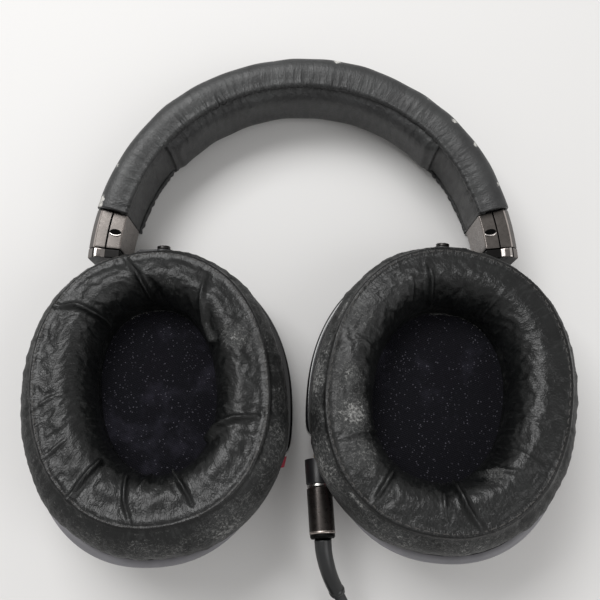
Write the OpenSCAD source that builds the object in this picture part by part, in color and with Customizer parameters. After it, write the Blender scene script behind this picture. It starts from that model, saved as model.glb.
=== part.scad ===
// Over ear headphones lying on their back: the arch lies on its side edge and both
// ear cups are swivelled flat, with their pads facing up. Millimetres, +Z up.
// X runs from the left cup to the right cup, Y from the cups to the top of the arch.

/* [Headband] */
// Width of the band, along Z when it lies on its edge
band_w = 30; // [26:0.5:34]
// Thickness of the band from its outer face to its stitched seam
band_t = 12.7; // [11.5:0.1:14]
// Radius of the outer face over the top of the arch
top_r = 83.1; // [80:0.1:86]
// Half angle of the top arc
top_half_angle = 30; // [26:1:34]
// Radius of the outer face over each shoulder
shoulder_r = 77.4; // [75:0.1:80]
// Angle of each shoulder arc
shoulder_angle = 30.2; // [28:0.1:33]
// Radius of the outer face down each side
side_r = 92.7; // [88:0.1:96]
// Height of the cushion's crown above the seams
cushion_crown = 4; // [2:0.5:5]
// Length from the top of the arch to the lower end of the pads
overall_y = 191.4; // [188:0.1:195]

/* [Sliders] */
// Travel of each slider out of its case
slider_travel = 25; // [10:1:25]
// Thickness of the sliding blade
blade_t = 1.6; // [1.4:0.1:1.8]
// Width of the sliding blade
blade_w = 14; // [12:1:16]

/* [Ear cups] */
// Half width of the ear pad
pad_a = 45.3; // [43:0.1:46]
// Half length of the ear pad
pad_b = 56; // [54:0.1:56.2]
// Exponent of the oval outline, where 2 is an ellipse
oval_n = 2.2; // [2:0.05:2.4]
// Height of the pad's top above the back of the housing
pad_top = 44; // [40:0.5:46]
// Distance of each cup's centre from the arch's centre plane
cup_x = 55.2; // [55:0.1:56]
// Angle by which the left cup leans inwards about its knuckle
left_lean = 1.2; // [0:0.1:2]
// Angle by which the right cup leans inwards about its knuckle
right_lean = 4; // [2:0.1:4.5]
// Tilt of each cup towards the arch at rest
cup_tilt = 9; // [6:0.5:10]

/* [Cable] */
// Diameter of the cable
cable_d = 4; // [3.8:0.1:4.2]
// Diameter of the metal sleeve of the plug at the cup
sleeve_d = 9.3; // [8.8:0.1:9.6]

/* [Hidden] */
LEFT = -1;
RIGHT = 1;
$fn = 64;
fit = 0.05;
gap = 0.3;
eps = 0.01;

// ---- arch: three tangent arcs down each side, angles measured from the top ----
band_top_y = overall_y / 2;
shoulder_end = top_half_angle + shoulder_angle;
top_c = [0, band_top_y - top_r];
shoulder_c = top_c + (top_r - shoulder_r) * [sin(top_half_angle), cos(top_half_angle)];
side_c = shoulder_c + (shoulder_r - side_r) * [sin(shoulder_end), cos(shoulder_end)];
cushion_end = 51;
leather_end = 74.9;
case_start = 75.2;
case_end = 84.6;
knuckle_start = 84.8;
knuckle_end = 87.1;
cover_t = 1.6;
seam_z = 1.8;
case_low = 3;
case_high = band_w - case_low;
case_split = 7.1;
case_wall = 1.6;
case_bevel = [2.4, 3];

// ---- blade: a straight strip, leaning outwards towards its lower end ----
blade_lean = 12;
blade_foot = [75, side_c[1] + 8.76];
blade_len = slider_travel + 7;
mid_z = band_w / 2;

// ---- cup, in its own frame: u inwards, v towards the arch, w towards the ear ----
rim_a = pad_a - 1.3;
rim_b = pad_b - 1.3;
pivot_v = -10;
pivot_w = 11;
pad_mid_w = 30;
// Outside of the housing as [offset from the rim outline, height]
housing_outside = [[-0.8, 16.2], [-1.4, 13], [-3.4, 9], [-8, 4.6], [-14, 1.8], [-22, 0.3], [-26, 0]];
housing_inside = [[-24, 2.2], [-10, 5], [-4.8, 11], [-2.6, 16.2]];
// Height of the tilt pivot, so that the housing's lowest edge just touches the table
pivot_z = -min([for (p = housing_outside)
    (p[1] - pivot_w) * cos(cup_tilt) - (rim_b + p[0] - pivot_v) * sin(cup_tilt)]);
cup_y = -overall_y / 2 + (pad_b + pivot_v) * cos(cup_tilt)
    - (pad_mid_w - pivot_w) * sin(cup_tilt) - pivot_v;
lean_pivot = [77, side_c[1] + 4.8];
swivel_z = 11.5;
swivel_v = 57;
yoke_h = 8;
yoke_slope = atan((pivot_z - swivel_z) / (swivel_v - pivot_v));
arm_inner_a = 46.3;
arm_inner_b = 55.5;
pin_r = 1.5;
bore_r = 1.55;
driver_r = 18;
post_uv = [23, 33];
jack_mouth = [43.2, -32.2];
jack_yaw = -7.5;
sleeve_len = 18;

// ---- cable: route points after the strain relief, in the assembled frame ----
coil_c = [-5, -152];
coil_r = 22;
coil_turns_high = 4;
coil_gap = 4;
relief_route = [[8.45, -88.65, 23.5], [8.8, -93, 23.4], [9.9, -98, 22], [11.6, -103, 19.5], [14, -108, 16.3]];
cable_route = [[14, -108, 16.3], [16, -112, 13.6], [18, -117.5, 10.2], [19.2, -124, 6.6], [19.6, -131, 3.9],
    [19.6, -139, 2.4], [19, -147, 2.1], [19, -152, 2.1]];
tail_route = [[-5, -176, 14], [-13, -176, 13.4], [-21, -176, 10.2], [-30, -176, 6], [-39, -176, 4.6],
    [-46, -176, 4.5]];
far_plug_x = -46;
far_plug_z = 4.5;
far_plug_y = -176;
far_body_len = 24;
far_pin_r = 1.75;
far_pin_len = 14;

// The arch's centre plane stands off the middle of the footprint, because the right cup leans further.
band_x = (lean_pivot[1] - cup_y) * (sin(right_lean) - sin(left_lean)) / 2;

// ================================ helpers ================================
function power(x, k) = sign(x) * pow(abs(x), k);
function oval_point(a, b, t) = [a * power(cos(t), 2 / oval_n), b * power(sin(t), 2 / oval_n)];
function oval(a, b, n = 56) = [for (i = [0 : n - 1]) oval_point(a, b, 360 * i / n)];
function ring_faces(rows, cols, wrap) = [
    for (r = [0 : rows - (wrap ? 1 : 2)], c = [0 : cols - 1])
        [r * cols + c, r * cols + (c + 1) % cols,
         ((r + 1) % rows) * cols + (c + 1) % cols, ((r + 1) % rows) * cols + c]];
function unit(v) = v / norm(v);
function path_dir(p, i) = unit(p[min(i + 1, len(p) - 1)] - p[max(i - 1, 0)]);

// Everything that belongs to the object is drawn through this shift.
module place() { translate([band_x, 0, 0]) children(); }

// A side's own frame has X outwards; the left side is its mirror image.
module on_side(side) { mirror([side == LEFT ? 1 : 0, 0, 0]) children(); }

// Swings inner pieces sideways about the knuckle.
module leaned(side) {
    translate([side * lean_pivot[0], lean_pivot[1], 0])
        rotate([0, 0, side == LEFT ? left_lean : -right_lean])
            translate([-side * lean_pivot[0], -lean_pivot[1], 0]) children();
}

// The yoke's frame: u inwards and v towards the arch, level with the table.
module at_yoke(side) {
    place() leaned(side) translate([side * cup_x, cup_y, 0])
        mirror([side == RIGHT ? 1 : 0, 0, 0]) children();
}

// The cup's frame: as the yoke's, tilted about the pivot pins.
module at_cup(side) {
    at_yoke(side) translate([0, pivot_v, pivot_z]) rotate([-cup_tilt, 0, 0])
        translate([0, -pivot_v, -pivot_w]) children();
}

// One arc of the arch; children are drawn as [minus depth below the outer face, z].
module arc_sweep(centre, r, from, to) {
    translate([centre[0], centre[1], 0]) rotate([0, 0, 90 - to])
        rotate_extrude(angle = to - from, $fn = 180) translate([r, 0]) children();
}

// Corners of a bar's section as [minus depth, z].
function bar(depth_from, depth_to, z_from, z_to) =
    [[-depth_to, z_from], [-depth_from, z_from], [-depth_from, z_to], [-depth_to, z_to]];
module slab(depth_from, depth_to, z_from, z_to) { polygon(bar(depth_from, depth_to, z_from, z_to)); }

// Centre and radius of the arch's outer face at an angle from its top, and a point beside that face.
function arc_at(a) = abs(a) <= top_half_angle ? [top_c, top_r]
    : abs(a) <= shoulder_end ? [shoulder_c, shoulder_r] : [side_c, side_r];
function arch_point(a, out, z) =
    let (arc = arc_at(a), r = arc[1] + out)
    [(a < 0 ? -1 : 1) * arc[0][0] + r * sin(a), arc[0][1] + r * cos(a), z];

// Angles about three degrees apart.
function arch_angles(from, to) = let (n = ceil((to - from) / 3)) [for (i = [0 : n]) from + (to - from) * i / n];

// One solid with the same section all along the arch, between two angles from its top.
module arch_solid(section, from, to) {
    n = len(section);
    angles = arch_angles(from, to);
    rows = len(angles);
    pts = [for (i = [rows - 1 : -1 : 0], p = section) arch_point(angles[i], p[0], p[1])];
    caps = [[for (i = [n - 1 : -1 : 0]) i], [for (i = [0 : n - 1]) (rows - 1) * n + i]];
    polyhedron(pts, concat(ring_faces(rows, n, false), caps), convexity = 8);
}

// Solid lofted through oval rings, [offset, height] each, closed by a flat at both ends.
module oval_bowl(a, b, rings, n = 56) {
    pts = [for (r = rings, p = oval(a + r[0], b + r[0], n)) [p[0], p[1], r[1]]];
    caps = [[for (i = [n - 1 : -1 : 0]) i], [for (i = [0 : n - 1]) (len(rings) - 1) * n + i]];
    polyhedron(pts, concat(ring_faces(len(rings), n, false), caps), convexity = 6);
}

// Closed ring with the same section all round an oval.
module oval_ring(a, b, section, n = 56) {
    pts = [for (r = section, p = oval(a + r[0], b + r[0], n)) [p[0], p[1], r[1]]];
    polyhedron(pts, ring_faces(len(section), n, true), convexity = 6);
}

module oval_plate(a, b, z, h) { translate([0, 0, z]) linear_extrude(h) polygon(oval(a, b)); }

// Tube along a route, with its own radius at each point.
module tube(route, radii, n = 8) {
    frames = [for (i = [0 : len(route) - 1])
        let (d = path_dir(route, i), s = unit(cross(d, [0, 0, 1])), u = cross(s, d)) [s, u]];
    pts = [for (i = [0 : len(route) - 1], k = [0 : n - 1])
        route[i] + radii[i] * (frames[i][0] * cos(360 * k / n) + frames[i][1] * sin(360 * k / n))];
    caps = [[for (k = [n - 1 : -1 : 0]) k], [for (k = [0 : n - 1]) (len(route) - 1) * n + k]];
    polyhedron(pts, concat(ring_faces(len(route), n, false), caps), convexity = 4);
}

function same(r, route) = [for (p = route) r];

// Extra points between the chosen ones, on a smooth curve through them.
function spline_point(p, i, t) =
    let (a = p[max(i - 1, 0)], b = p[i], c = p[i + 1], d = p[min(i + 2, len(p) - 1)])
    0.5 * (2 * b + (c - a) * t + (2 * a - 5 * b + 4 * c - d) * t * t + (3 * b - a - 3 * c + d) * t * t * t);
function smooth(p, steps) = concat(
    [for (i = [0 : len(p) - 2], s = [0 : steps - 1]) spline_point(p, i, s / steps)], [p[len(p) - 1]]);

module along_y(p, r, length) { translate(p) rotate([-90, 0, 0]) cylinder(r = r, h = length); }
module along_x(p, r, length) { translate(p) rotate([0, 90, 0]) cylinder(r = r, h = length); }

// ================================ headband ================================
// Quarter round from angle a to a + 90 about a centre, for the corner of a section.
function corner(c, r, a) = [for (k = [0 : 3]) c + r * [cos(a + 30 * k), sin(a + 30 * k)]];

// Open channel of leather: an outer web and two side flanges down to the seams.
module headband_cover() {
    r = 4;
    inner = band_t - 0.3;
    color("dimgray") place() arch_solid(concat(
        corner([-r, band_w - r], r, 0),
        [[-inner, band_w], [-inner, band_w - seam_z], [-cover_t - 2, band_w - seam_z],
         [-cover_t, band_w - seam_z - 2], [-cover_t, seam_z + 2], [-cover_t - 2, seam_z],
         [-inner, seam_z], [-inner, 0]],
        corner([-r, r], r, 270)),
        -leather_end, leather_end);
}

module headband_cushion() {
    r = 3.5;
    top = band_t + cushion_crown;
    low = seam_z + gap;
    high = band_w - seam_z - gap;
    color("gray") place() arch_solid(concat(
        [[-9.6, high]], corner([r - top, high - r], r, 90), corner([r - top, low + r], r, 180), [[-9.6, low]]),
        -cushion_end, cushion_end);
}

module headband_lining() {
    color("slategray") place() for (side = [LEFT, RIGHT]) on_side(side)
        arch_solid(bar(9.6, band_t, seam_z + gap, band_w - seam_z - gap), cushion_end + 0.4, leather_end);
}

module band_core() {
    color("black") place() difference() {
        arch_solid(bar(3.2, 9.3, 2.3, band_w - 2.3), 0.2 - leather_end, leather_end - 0.2);
        for (side = [LEFT, RIGHT]) on_side(side) {
            blade_body(0.35, 1);
            rivets(0.95);
        }
    }
}

module band_spring() {
    color("silver") place() arch_solid(bar(1.95, 2.85, 6, band_w - 6), 1 - leather_end, leather_end - 1);
}

// Two rivets through one end of the core, clear of the blade between them.
module rivets(r) {
    for (z = [4.6, band_w - 4.6]) translate([side_c[0], side_c[1], z])
        rotate([0, 0, 20]) along_x([side_r - 9.2, 0, 0], r, 5.9);
}

module band_rivets() {
    color("silver") place() for (side = [LEFT, RIGHT]) on_side(side) rivets(0.9);
}

module detent_springs() {
    color("silver") place() for (side = [LEFT, RIGHT]) on_side(side)
        arc_sweep(side_c, side_r, case_start + 0.6, case_end - 1.4) slab(10.1, 10.6, mid_z - 4, mid_z + 4);
}

// ================================ sliders ================================
// The straight blade, grown on every side by clear and longer at its top by extra.
module blade_body(clear, extra) {
    translate([blade_foot[0], blade_foot[1], 0]) rotate([0, 0, blade_lean])
        translate([-blade_t / 2 - clear, -3.6 - clear, mid_z - blade_w / 2 - clear])
            cube([blade_t + 2 * clear, blade_len + 3.6 + clear + extra, blade_w + 2 * clear]);
}

module case_outer_section() {
    difference() {
        polygon([[0, case_low + case_bevel[1]], [0, case_high - case_bevel[1]],
            [-case_bevel[0], case_high], [-case_split + 0.1, case_high],
            [-case_split + 0.1, case_low], [-case_bevel[0], case_low]]);
        translate([-case_split - 1, case_low + case_wall])
            square([case_split + 1 - case_wall - 1.2, case_high - case_low - 2 * case_wall]);
        slab(case_wall, 4, case_low + case_bevel[1] + 1, case_high - case_bevel[1] - 1);
    }
}

module case_inner_section() {
    difference() {
        slab(case_split + 0.1, band_t, case_low, case_high);
        slab(case_split, band_t - case_wall, case_low + case_wall, case_high - case_wall);
    }
}

module slider_case(side) {
    color("rosybrown") place() on_side(side) difference() {
        union() {
            arc_sweep(side_c, side_r, case_start, case_end) case_outer_section();
            arc_sweep(side_c, side_r, case_end - 0.6, case_end)
                slab(case_wall - eps, case_split - 0.1, case_low + case_bevel[1], case_high - case_bevel[1]);
        }
        blade_body(0.35, 1);
    }
}

module slider_case_inner(side) {
    slot_depth = 4.2;
    color("tan") place() on_side(side) difference() {
        union() {
            arc_sweep(side_c, side_r, case_start, case_end) case_inner_section();
            arc_sweep(side_c, side_r, case_end - 0.6, case_end)
                slab(case_split + 0.1, band_t - eps, case_low + eps, case_high - eps);
        }
        arc_sweep(side_c, side_r, 78.4, 79.6) for (z = [case_low - 1, case_high - case_wall - 0.2])
            slab(case_split + 0.8, case_split + 0.8 + slot_depth, z, z + case_wall + 1.2);
        blade_body(0.35, 1);
    }
}

module slider_arm(side) {
    color("lightgray") place() on_side(side) blade_body(0, 0);
}

module knuckle(side) {
    color("gainsboro") place() on_side(side) difference() {
        arc_sweep(side_c, side_r, knuckle_start, knuckle_end)
            polygon([[0, case_low + case_bevel[1]], [0, case_high - case_bevel[1]],
                [-case_bevel[0], case_high], [-case_split + 0.1, case_high],
                [-case_split + 0.1, case_low], [-case_bevel[0], case_low]]);
        blade_body(fit, 0);
    }
}

module knuckle_cover(side) {
    color("darkslategray") place() on_side(side) difference() {
        arc_sweep(side_c, side_r, knuckle_start, knuckle_end)
            slab(case_split + 0.1, band_t, case_low, case_high);
        blade_body(fit, 0);
    }
}

// Link from the knuckle inwards to the swivel bearing behind the top of the cup.
module hanger(side) {
    boss_y = cup_y + 58.7;
    color("black") place() leaned(side) on_side(side) difference() {
        union() {
            translate([0, 0, swivel_z - 4]) linear_extrude(7.4)
                polygon([[68.6, 13.8], [68.6, 16.6], [64, boss_y + 4.6], [cup_x, boss_y + 4.6],
                    [cup_x, boss_y], [cup_x + 4, boss_y], [64, boss_y - 0.6]]);
            along_y([cup_x, boss_y, swivel_z], 4, 4.6);
        }
        along_y([cup_x, boss_y - 1, swivel_z], bore_r, 7);
    }
}

module swivel_pin(side) {
    color("silver") at_yoke(side) {
        along_y([0, 55.8, swivel_z], pin_r, 8.3);
        along_y([0, 64.05, swivel_z], 2.6, 1);
    }
}

// ================================ yokes ================================
module swivel_washer(side) {
    color("white") at_yoke(side) difference() {
        along_y([0, 58, swivel_z], 3.6, 0.5);
        along_y([0, 57.5, swivel_z], bore_r, 2);
    }
}

// Angle on an oval, below its middle, at which it reaches the depth v.
function end_angle(b, v) = asin(pow(-v / b, oval_n / 2));

module yoke(side) {
    inner_end = side == LEFT ? -17.5 : -14;
    outer_end = -16;
    outer_b = 57.6;
    steps = 22;
    function arm(a, b, from, to) = [for (i = [0 : steps]) oval_point(a, b, from + (to - from) * i / steps)];
    color("black") at_yoke(side) difference() {
        translate([0, swivel_v, swivel_z]) rotate([-yoke_slope, 0, 0])
            translate([0, -swivel_v, -yoke_h / 2]) linear_extrude(yoke_h) polygon(concat(
                arm(49.4, outer_b, -end_angle(outer_b, inner_end), 90),
                arm(49.4, outer_b, 90, 180 + end_angle(outer_b, outer_end)),
                arm(arm_inner_a, arm_inner_b, 180 + end_angle(arm_inner_b, outer_end), 90),
                arm(arm_inner_a, arm_inner_b, 90, -end_angle(arm_inner_b, inner_end))));
        along_y([0, 50, swivel_z], bore_r, 12);
        along_x([-60, pivot_v, pivot_z], bore_r, 120);
    }
}

module yoke_pivot_pins(side) {
    color("silver") at_yoke(side) for (u = [-48.4, 39.4])
        along_x([u, pivot_v, pivot_z], pin_r, 9);
}

// Small coloured tip at the free end of one yoke, marking the channel.
module channel_mark() {
    color("crimson") at_yoke(LEFT) translate([0, 0, pivot_z + 0.4 - yoke_h / 2 + 0.6])
        linear_extrude(yoke_h - 1.2) polygon([[44, -18], [47.6, -17.8], [46.6, -21.7], [43.6, -22.1]]);
}

// ================================ ear cups ================================
module housing(side) {
    color("black") at_cup(side) difference() {
        union() {
            oval_bowl(rim_a, rim_b, concat(housing_inside, housing_outside));
            for (su = [-1, 1], sv = [-1, 1])
                translate([su * post_uv[0], sv * post_uv[1], 5]) cylinder(r = 2.6, h = 12.2);
            for (u = [-44.8, 38])
                along_x([u, pivot_v, pivot_w], 3.6, 6.8);
            if (side == RIGHT) {
                at_jack() along_y([0, 0.8, 0], 4.7, 9);
                at_jack() translate([-11.5, 1, -3.2]) cube([8, 8, 6.4]);
            }
        }
        for (su = [-1, 1], sv = [-1, 1])
            translate([su * post_uv[0], sv * post_uv[1], 8]) cylinder(r = 1.05, h = 10);
        along_x([-46, pivot_v, pivot_w], bore_r, 7.2);
        along_x([38.9, pivot_v, pivot_w], bore_r, 7.2);
        if (side == RIGHT) at_jack() along_y([0, 0, 0], 3.3, 12);
    }
}

module housing_ring(side) {
    color("crimson") at_cup(side)
        oval_ring(rim_a, rim_b, [[-2.4, 16.45], [0.1, 16.45], [0.1, 17.35], [-2.4, 17.35]]);
}

module baffle(side) {
    color("dimgray") at_cup(side) difference() {
        oval_plate(rim_a - 0.2, rim_b - 0.2, 17.6, 1.4);
        translate([0, 0, 17]) cylinder(r = driver_r + 0.3, h = 3);
        for (su = [-1, 1], sv = [-1, 1]) translate([su * post_uv[0], sv * post_uv[1], 0]) {
            translate([0, 0, 17]) cylinder(r = 1.1, h = 3);
            translate([0, 0, 18.2]) cylinder(r = 2.1, h = 2);
        }
    }
}

module baffle_screws(side) {
    color("silver") at_cup(side) for (su = [-1, 1], sv = [-1, 1])
        translate([su * post_uv[0], sv * post_uv[1], 0]) {
            translate([0, 0, 10]) cylinder(r = 1, h = 8.3);
            translate([0, 0, 18.25]) cylinder(r = 1.9, h = 0.9);
        }
}

module driver_basket(side) {
    color("gray") at_cup(side) rotate_extrude()
        polygon([[8.8, 9.4], [17.6, 11.4], [17.6, 16], [22, 16], [22, 17.3], [16.8, 17.3],
            [16.8, 12.4], [8.8, 10.5]]);
}

module driver_magnet(side) {
    color("silver") at_cup(side) rotate_extrude()
        polygon([[1.5, 5.6], [8.5, 5.6], [8.5, 12], [1.5, 12]]);
}

module diaphragm(side) {
    color("whitesmoke") at_cup(side) rotate_extrude()
        polygon([[0, 16.6], [4, 16.3], [8, 15.1], [13, 16.5], [16.5, 15.7], [16.5, 15.3], [13, 16.1],
            [8, 14.7], [4, 15.9], [0, 16.2]]);
}

module driver_grille(side) {
    color("black") at_cup(side) difference() {
        translate([0, 0, 17.8]) cylinder(r = driver_r, h = 1);
        for (ring = [0 : 2], i = [0 : max(6 * ring - 1, 0)]) rotate([0, 0, 60 * i / max(ring, 1)])
            translate([5.6 * ring, 0, 17]) cylinder(r = 1.7, h = 3, $fn = 24);
    }
}

module pad_mount_ring(side) {
    color("black") at_cup(side)
        oval_ring(pad_a, pad_b, [[-19.5, 19.25], [-2.2, 19.25], [-2.2, 20.15], [-19.5, 20.15]]);
}

module ear_pad(side) {
    color("black") at_cup(side) oval_ring(pad_a, pad_b, [
        [-1.8, 20.4], [-0.4, 24], [0, pad_mid_w], [-1.2, 36], [-4.5, 41], [-9.5, pad_top - 0.2],
        [-14, pad_top], [-19, pad_top - 1.4], [-23, 38.5], [-24.8, 32], [-24.8, 24], [-24, 20.4]]);
}

module pad_cloth(side) {
    color("midnightblue") at_cup(side) oval_plate(pad_a - 25.1, pad_b - 25.1, 21.6, 0.8);
}

// ================================ cable ================================
// The jack's frame in the cup's own: Y runs into the socket.
module at_jack() { translate([jack_mouth[0], jack_mouth[1], pivot_w]) rotate([0, 0, jack_yaw]) children(); }

module jack_socket() {
    color("darkgray") at_cup(RIGHT) at_jack() difference() {
        union() {
            along_y([0, 0, 0], 3.25, 9.8);
            along_y([0, -0.1, 0], 4.4, 0.8);
        }
        along_y([0, -1, 0], 1.3, 12);
    }
}

module plug_pin() {
    color("gold") at_cup(RIGHT) at_jack() along_y([0, -0.2, 0], 1.25, 12);
}

module plug_sleeve() {
    color("dimgray") at_cup(RIGHT) at_jack() translate([0, -0.3, 0])
        rotate([90, 0, 0]) rotate_extrude() polygon([[0, 0], [sleeve_d / 2 - 0.5, 0], [sleeve_d / 2, 0.5],
            [sleeve_d / 2, sleeve_len - 0.6], [sleeve_d / 2 - 0.6, sleeve_len], [0, sleeve_len]]);
}

module strain_relief() {
    route = smooth(relief_route, 4);
    color("black") tube(route, [for (i = [0 : len(route) - 1]) 3.1 - 0.4 * i / (len(route) - 1)], 12);
}

module cable() {
    route = smooth(cable_route, 2);
    color("dimgray") tube(route, same(cable_d / 2, route), 8);
}

module cable_coil() {
    color("dimgray") translate([coil_c[0], coil_c[1], 0]) rotate_extrude(angle = 360)
        translate([coil_r - coil_gap, 0]) square([2 * coil_gap, coil_turns_high * coil_gap + 0.1]);
}

module cable_tie() {
    w = 2 * coil_gap;
    h = coil_turns_high * coil_gap;
    color("black") translate([coil_c[0], coil_c[1] + coil_r, 0]) difference() {
        translate([-3, -w / 2 - 1.2, 0]) cube([6, w + 2.4, h + 1.4]);
        translate([-4, -w / 2 - 0.25, -1]) cube([8, w + 0.5, h + 1.3]);
    }
}

module cable_tail() {
    route = smooth(tail_route, 2);
    color("dimgray") tube(route, same(cable_d / 2, route), 8);
}

module far_plug_body() {
    color("dimgray") translate([far_plug_x, far_plug_y, far_plug_z]) rotate([0, -90, 0]) rotate_extrude()
        polygon([[0, 0], [2.4, 0], [2.9, 7], [4.3, 8], [4.4, far_body_len - 1], [3.6, far_body_len],
            [0, far_body_len]]);
}

module far_plug_pin() {
    color("gold") translate([far_plug_x - far_body_len - 0.05, far_plug_y, far_plug_z]) rotate([0, -90, 0])
        rotate_extrude() polygon([[0, 0], [far_pin_r, 0], [far_pin_r, far_pin_len - 3.2],
            [1.35, far_pin_len - 2.6], [far_pin_r, far_pin_len - 1.8], [0.7, far_pin_len], [0, far_pin_len]]);
}

headband_cover();
headband_cushion();
headband_lining();
band_core();
band_spring();
band_rivets();
detent_springs();
slider_case(LEFT);  // slider_case_left
slider_case_inner(LEFT);  // slider_case_inner_left
slider_arm(LEFT);  // slider_arm_left
knuckle(LEFT);  // knuckle_left
knuckle_cover(LEFT);  // knuckle_cover_left
hanger(LEFT);  // hanger_left
swivel_pin(LEFT);  // swivel_pin_left
swivel_washer(LEFT);  // swivel_washer_left
yoke(LEFT);  // yoke_left
yoke_pivot_pins(LEFT);  // yoke_pivot_pins_left
channel_mark();
housing(LEFT);  // housing_left
housing_ring(LEFT);  // housing_ring_left
baffle(LEFT);  // baffle_left
baffle_screws(LEFT);  // baffle_screws_left
driver_basket(LEFT);  // driver_basket_left
driver_magnet(LEFT);  // driver_magnet_left
diaphragm(LEFT);  // diaphragm_left
driver_grille(LEFT);  // driver_grille_left
pad_mount_ring(LEFT);  // pad_mount_ring_left
ear_pad(LEFT);  // ear_pad_left
pad_cloth(LEFT);  // pad_cloth_left
slider_case(RIGHT);  // slider_case_right
slider_case_inner(RIGHT);  // slider_case_inner_right
slider_arm(RIGHT);  // slider_arm_right
knuckle(RIGHT);  // knuckle_right
knuckle_cover(RIGHT);  // knuckle_cover_right
hanger(RIGHT);  // hanger_right
swivel_pin(RIGHT);  // swivel_pin_right
swivel_washer(RIGHT);  // swivel_washer_right
yoke(RIGHT);  // yoke_right
yoke_pivot_pins(RIGHT);  // yoke_pivot_pins_right
housing(RIGHT);  // housing_right
housing_ring(RIGHT);  // housing_ring_right
baffle(RIGHT);  // baffle_right
baffle_screws(RIGHT);  // baffle_screws_right
driver_basket(RIGHT);  // driver_basket_right
driver_magnet(RIGHT);  // driver_magnet_right
diaphragm(RIGHT);  // diaphragm_right
driver_grille(RIGHT);  // driver_grille_right
pad_mount_ring(RIGHT);  // pad_mount_ring_right
ear_pad(RIGHT);  // ear_pad_right
pad_cloth(RIGHT);  // pad_cloth_right
jack_socket();
plug_pin();
plug_sleeve();
strain_relief();
cable();
cable_coil();
cable_tie();
cable_tail();
far_plug_body();
far_plug_pin();
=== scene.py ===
"""Over ear headphones lying on a table with the ear pads up. Lengths in the helpers are in mm."""

import math

import bpy
import numpy as np
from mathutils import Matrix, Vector


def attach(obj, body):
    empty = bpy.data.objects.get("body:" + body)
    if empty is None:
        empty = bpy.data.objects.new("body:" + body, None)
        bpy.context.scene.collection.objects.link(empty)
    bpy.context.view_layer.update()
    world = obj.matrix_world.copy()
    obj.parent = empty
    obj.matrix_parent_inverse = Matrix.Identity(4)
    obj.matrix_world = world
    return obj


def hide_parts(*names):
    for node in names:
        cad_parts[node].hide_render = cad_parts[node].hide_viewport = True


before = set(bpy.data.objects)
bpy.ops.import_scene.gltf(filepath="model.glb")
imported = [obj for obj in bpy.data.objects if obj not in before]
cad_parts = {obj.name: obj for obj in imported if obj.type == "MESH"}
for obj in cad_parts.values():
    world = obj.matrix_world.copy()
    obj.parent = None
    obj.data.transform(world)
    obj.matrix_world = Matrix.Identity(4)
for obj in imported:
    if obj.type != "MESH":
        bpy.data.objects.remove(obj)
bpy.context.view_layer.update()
MM = 0.001
LEFT = -1
RIGHT = 1
NAMES = {LEFT: "left", RIGHT: "right"}

# ---------------------------------------------------------------- frames
BAND_X = 1.415
CUP_X = 55.2
CUP_Y = -43.239
LEAN = {LEFT: math.radians(1.2), RIGHT: math.radians(-4)}
TILT = math.radians(9)
KNUCKLE = (77.0, 14.7326)
PIVOT_V = -10.0
PIVOT_W = 11.0
PIVOT_Z = 17.248
OVAL_N = 2.2


def yoke_frame(side, p):
    """Points (u inwards, v towards the arch, z up) of one yoke, in mm, to the row frame in metres."""
    p = np.asarray(p, float)
    kx, ky = side * KNUCKLE[0], KNUCKLE[1]
    dx = side * (CUP_X - p[..., 0]) - kx
    dy = CUP_Y + p[..., 1] - ky
    c, s = math.cos(LEAN[side]), math.sin(LEAN[side])
    x = kx + dx * c - dy * s + BAND_X
    y = ky + dx * s + dy * c
    return np.stack([x, y, p[..., 2]], -1) * MM


def cup_frame(side, p):
    """Points (u inwards, v towards the arch, w towards the ear) of one cup to the row frame."""
    p = np.asarray(p, float)
    dv = p[..., 1] - PIVOT_V
    dw = p[..., 2] - PIVOT_W
    v = PIVOT_V + dv * math.cos(TILT) + dw * math.sin(TILT)
    z = PIVOT_Z - dv * math.sin(TILT) + dw * math.cos(TILT)
    return yoke_frame(side, np.stack([p[..., 0], v, z], -1))


# The arch's arcs: where each ends in degrees from the top, its centre and its radius.
ARCS = np.array(((30.0, 0.0, 12.6, 83.1), (60.2, 2.85, 17.536, 77.4), (180.0, -10.427, 9.933, 92.7)))


def band_frame(a, out, z):
    """Points of the arch by angle from its top in degrees, distance outside its outer face, and height."""
    a = np.asarray(a, float)
    ends, cx, cy, radius = ARCS.T
    arc = np.searchsorted(ends, np.abs(a))
    r = radius[arc] + np.asarray(out, float)
    x = np.where(a < 0, -1, 1) * cx[arc] + r * np.sin(np.radians(a)) + BAND_X
    y = cy[arc] + r * np.cos(np.radians(a))
    return np.stack([x, y, np.broadcast_to(z, x.shape)], -1) * MM


# ---------------------------------------------------------------- node materials
MIX_A = 6
MIX_B = 7
MIX_RESULT = 2


def linear(code, gain=1.0, lift=0.0):
    """The linear colour of an sRGB hex code, made brighter or darker."""
    out = []
    for i in (0, 2, 4):
        c = int(code[i : i + 2], 16) / 255
        c = c / 12.92 if c <= 0.04045 else ((c + 0.055) / 1.055) ** 2.4
        out.append(min(1.0, c * gain + lift))
    return (*out, 1.0)


class Value:
    """An output of a node. Arithmetic on it adds math nodes."""

    def __init__(self, paint, socket):
        self.paint = paint
        self.socket = socket

    def __add__(self, other):
        return self.paint.math("ADD", self, other)

    def __mul__(self, other):
        return self.paint.math("MULTIPLY", self, other)

    def __sub__(self, other):
        return self.paint.math("SUBTRACT", self, other)

    def __rsub__(self, other):
        return self.paint.math("SUBTRACT", other, self)

    def __abs__(self):
        return self.paint.math("ABSOLUTE", self)


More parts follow.
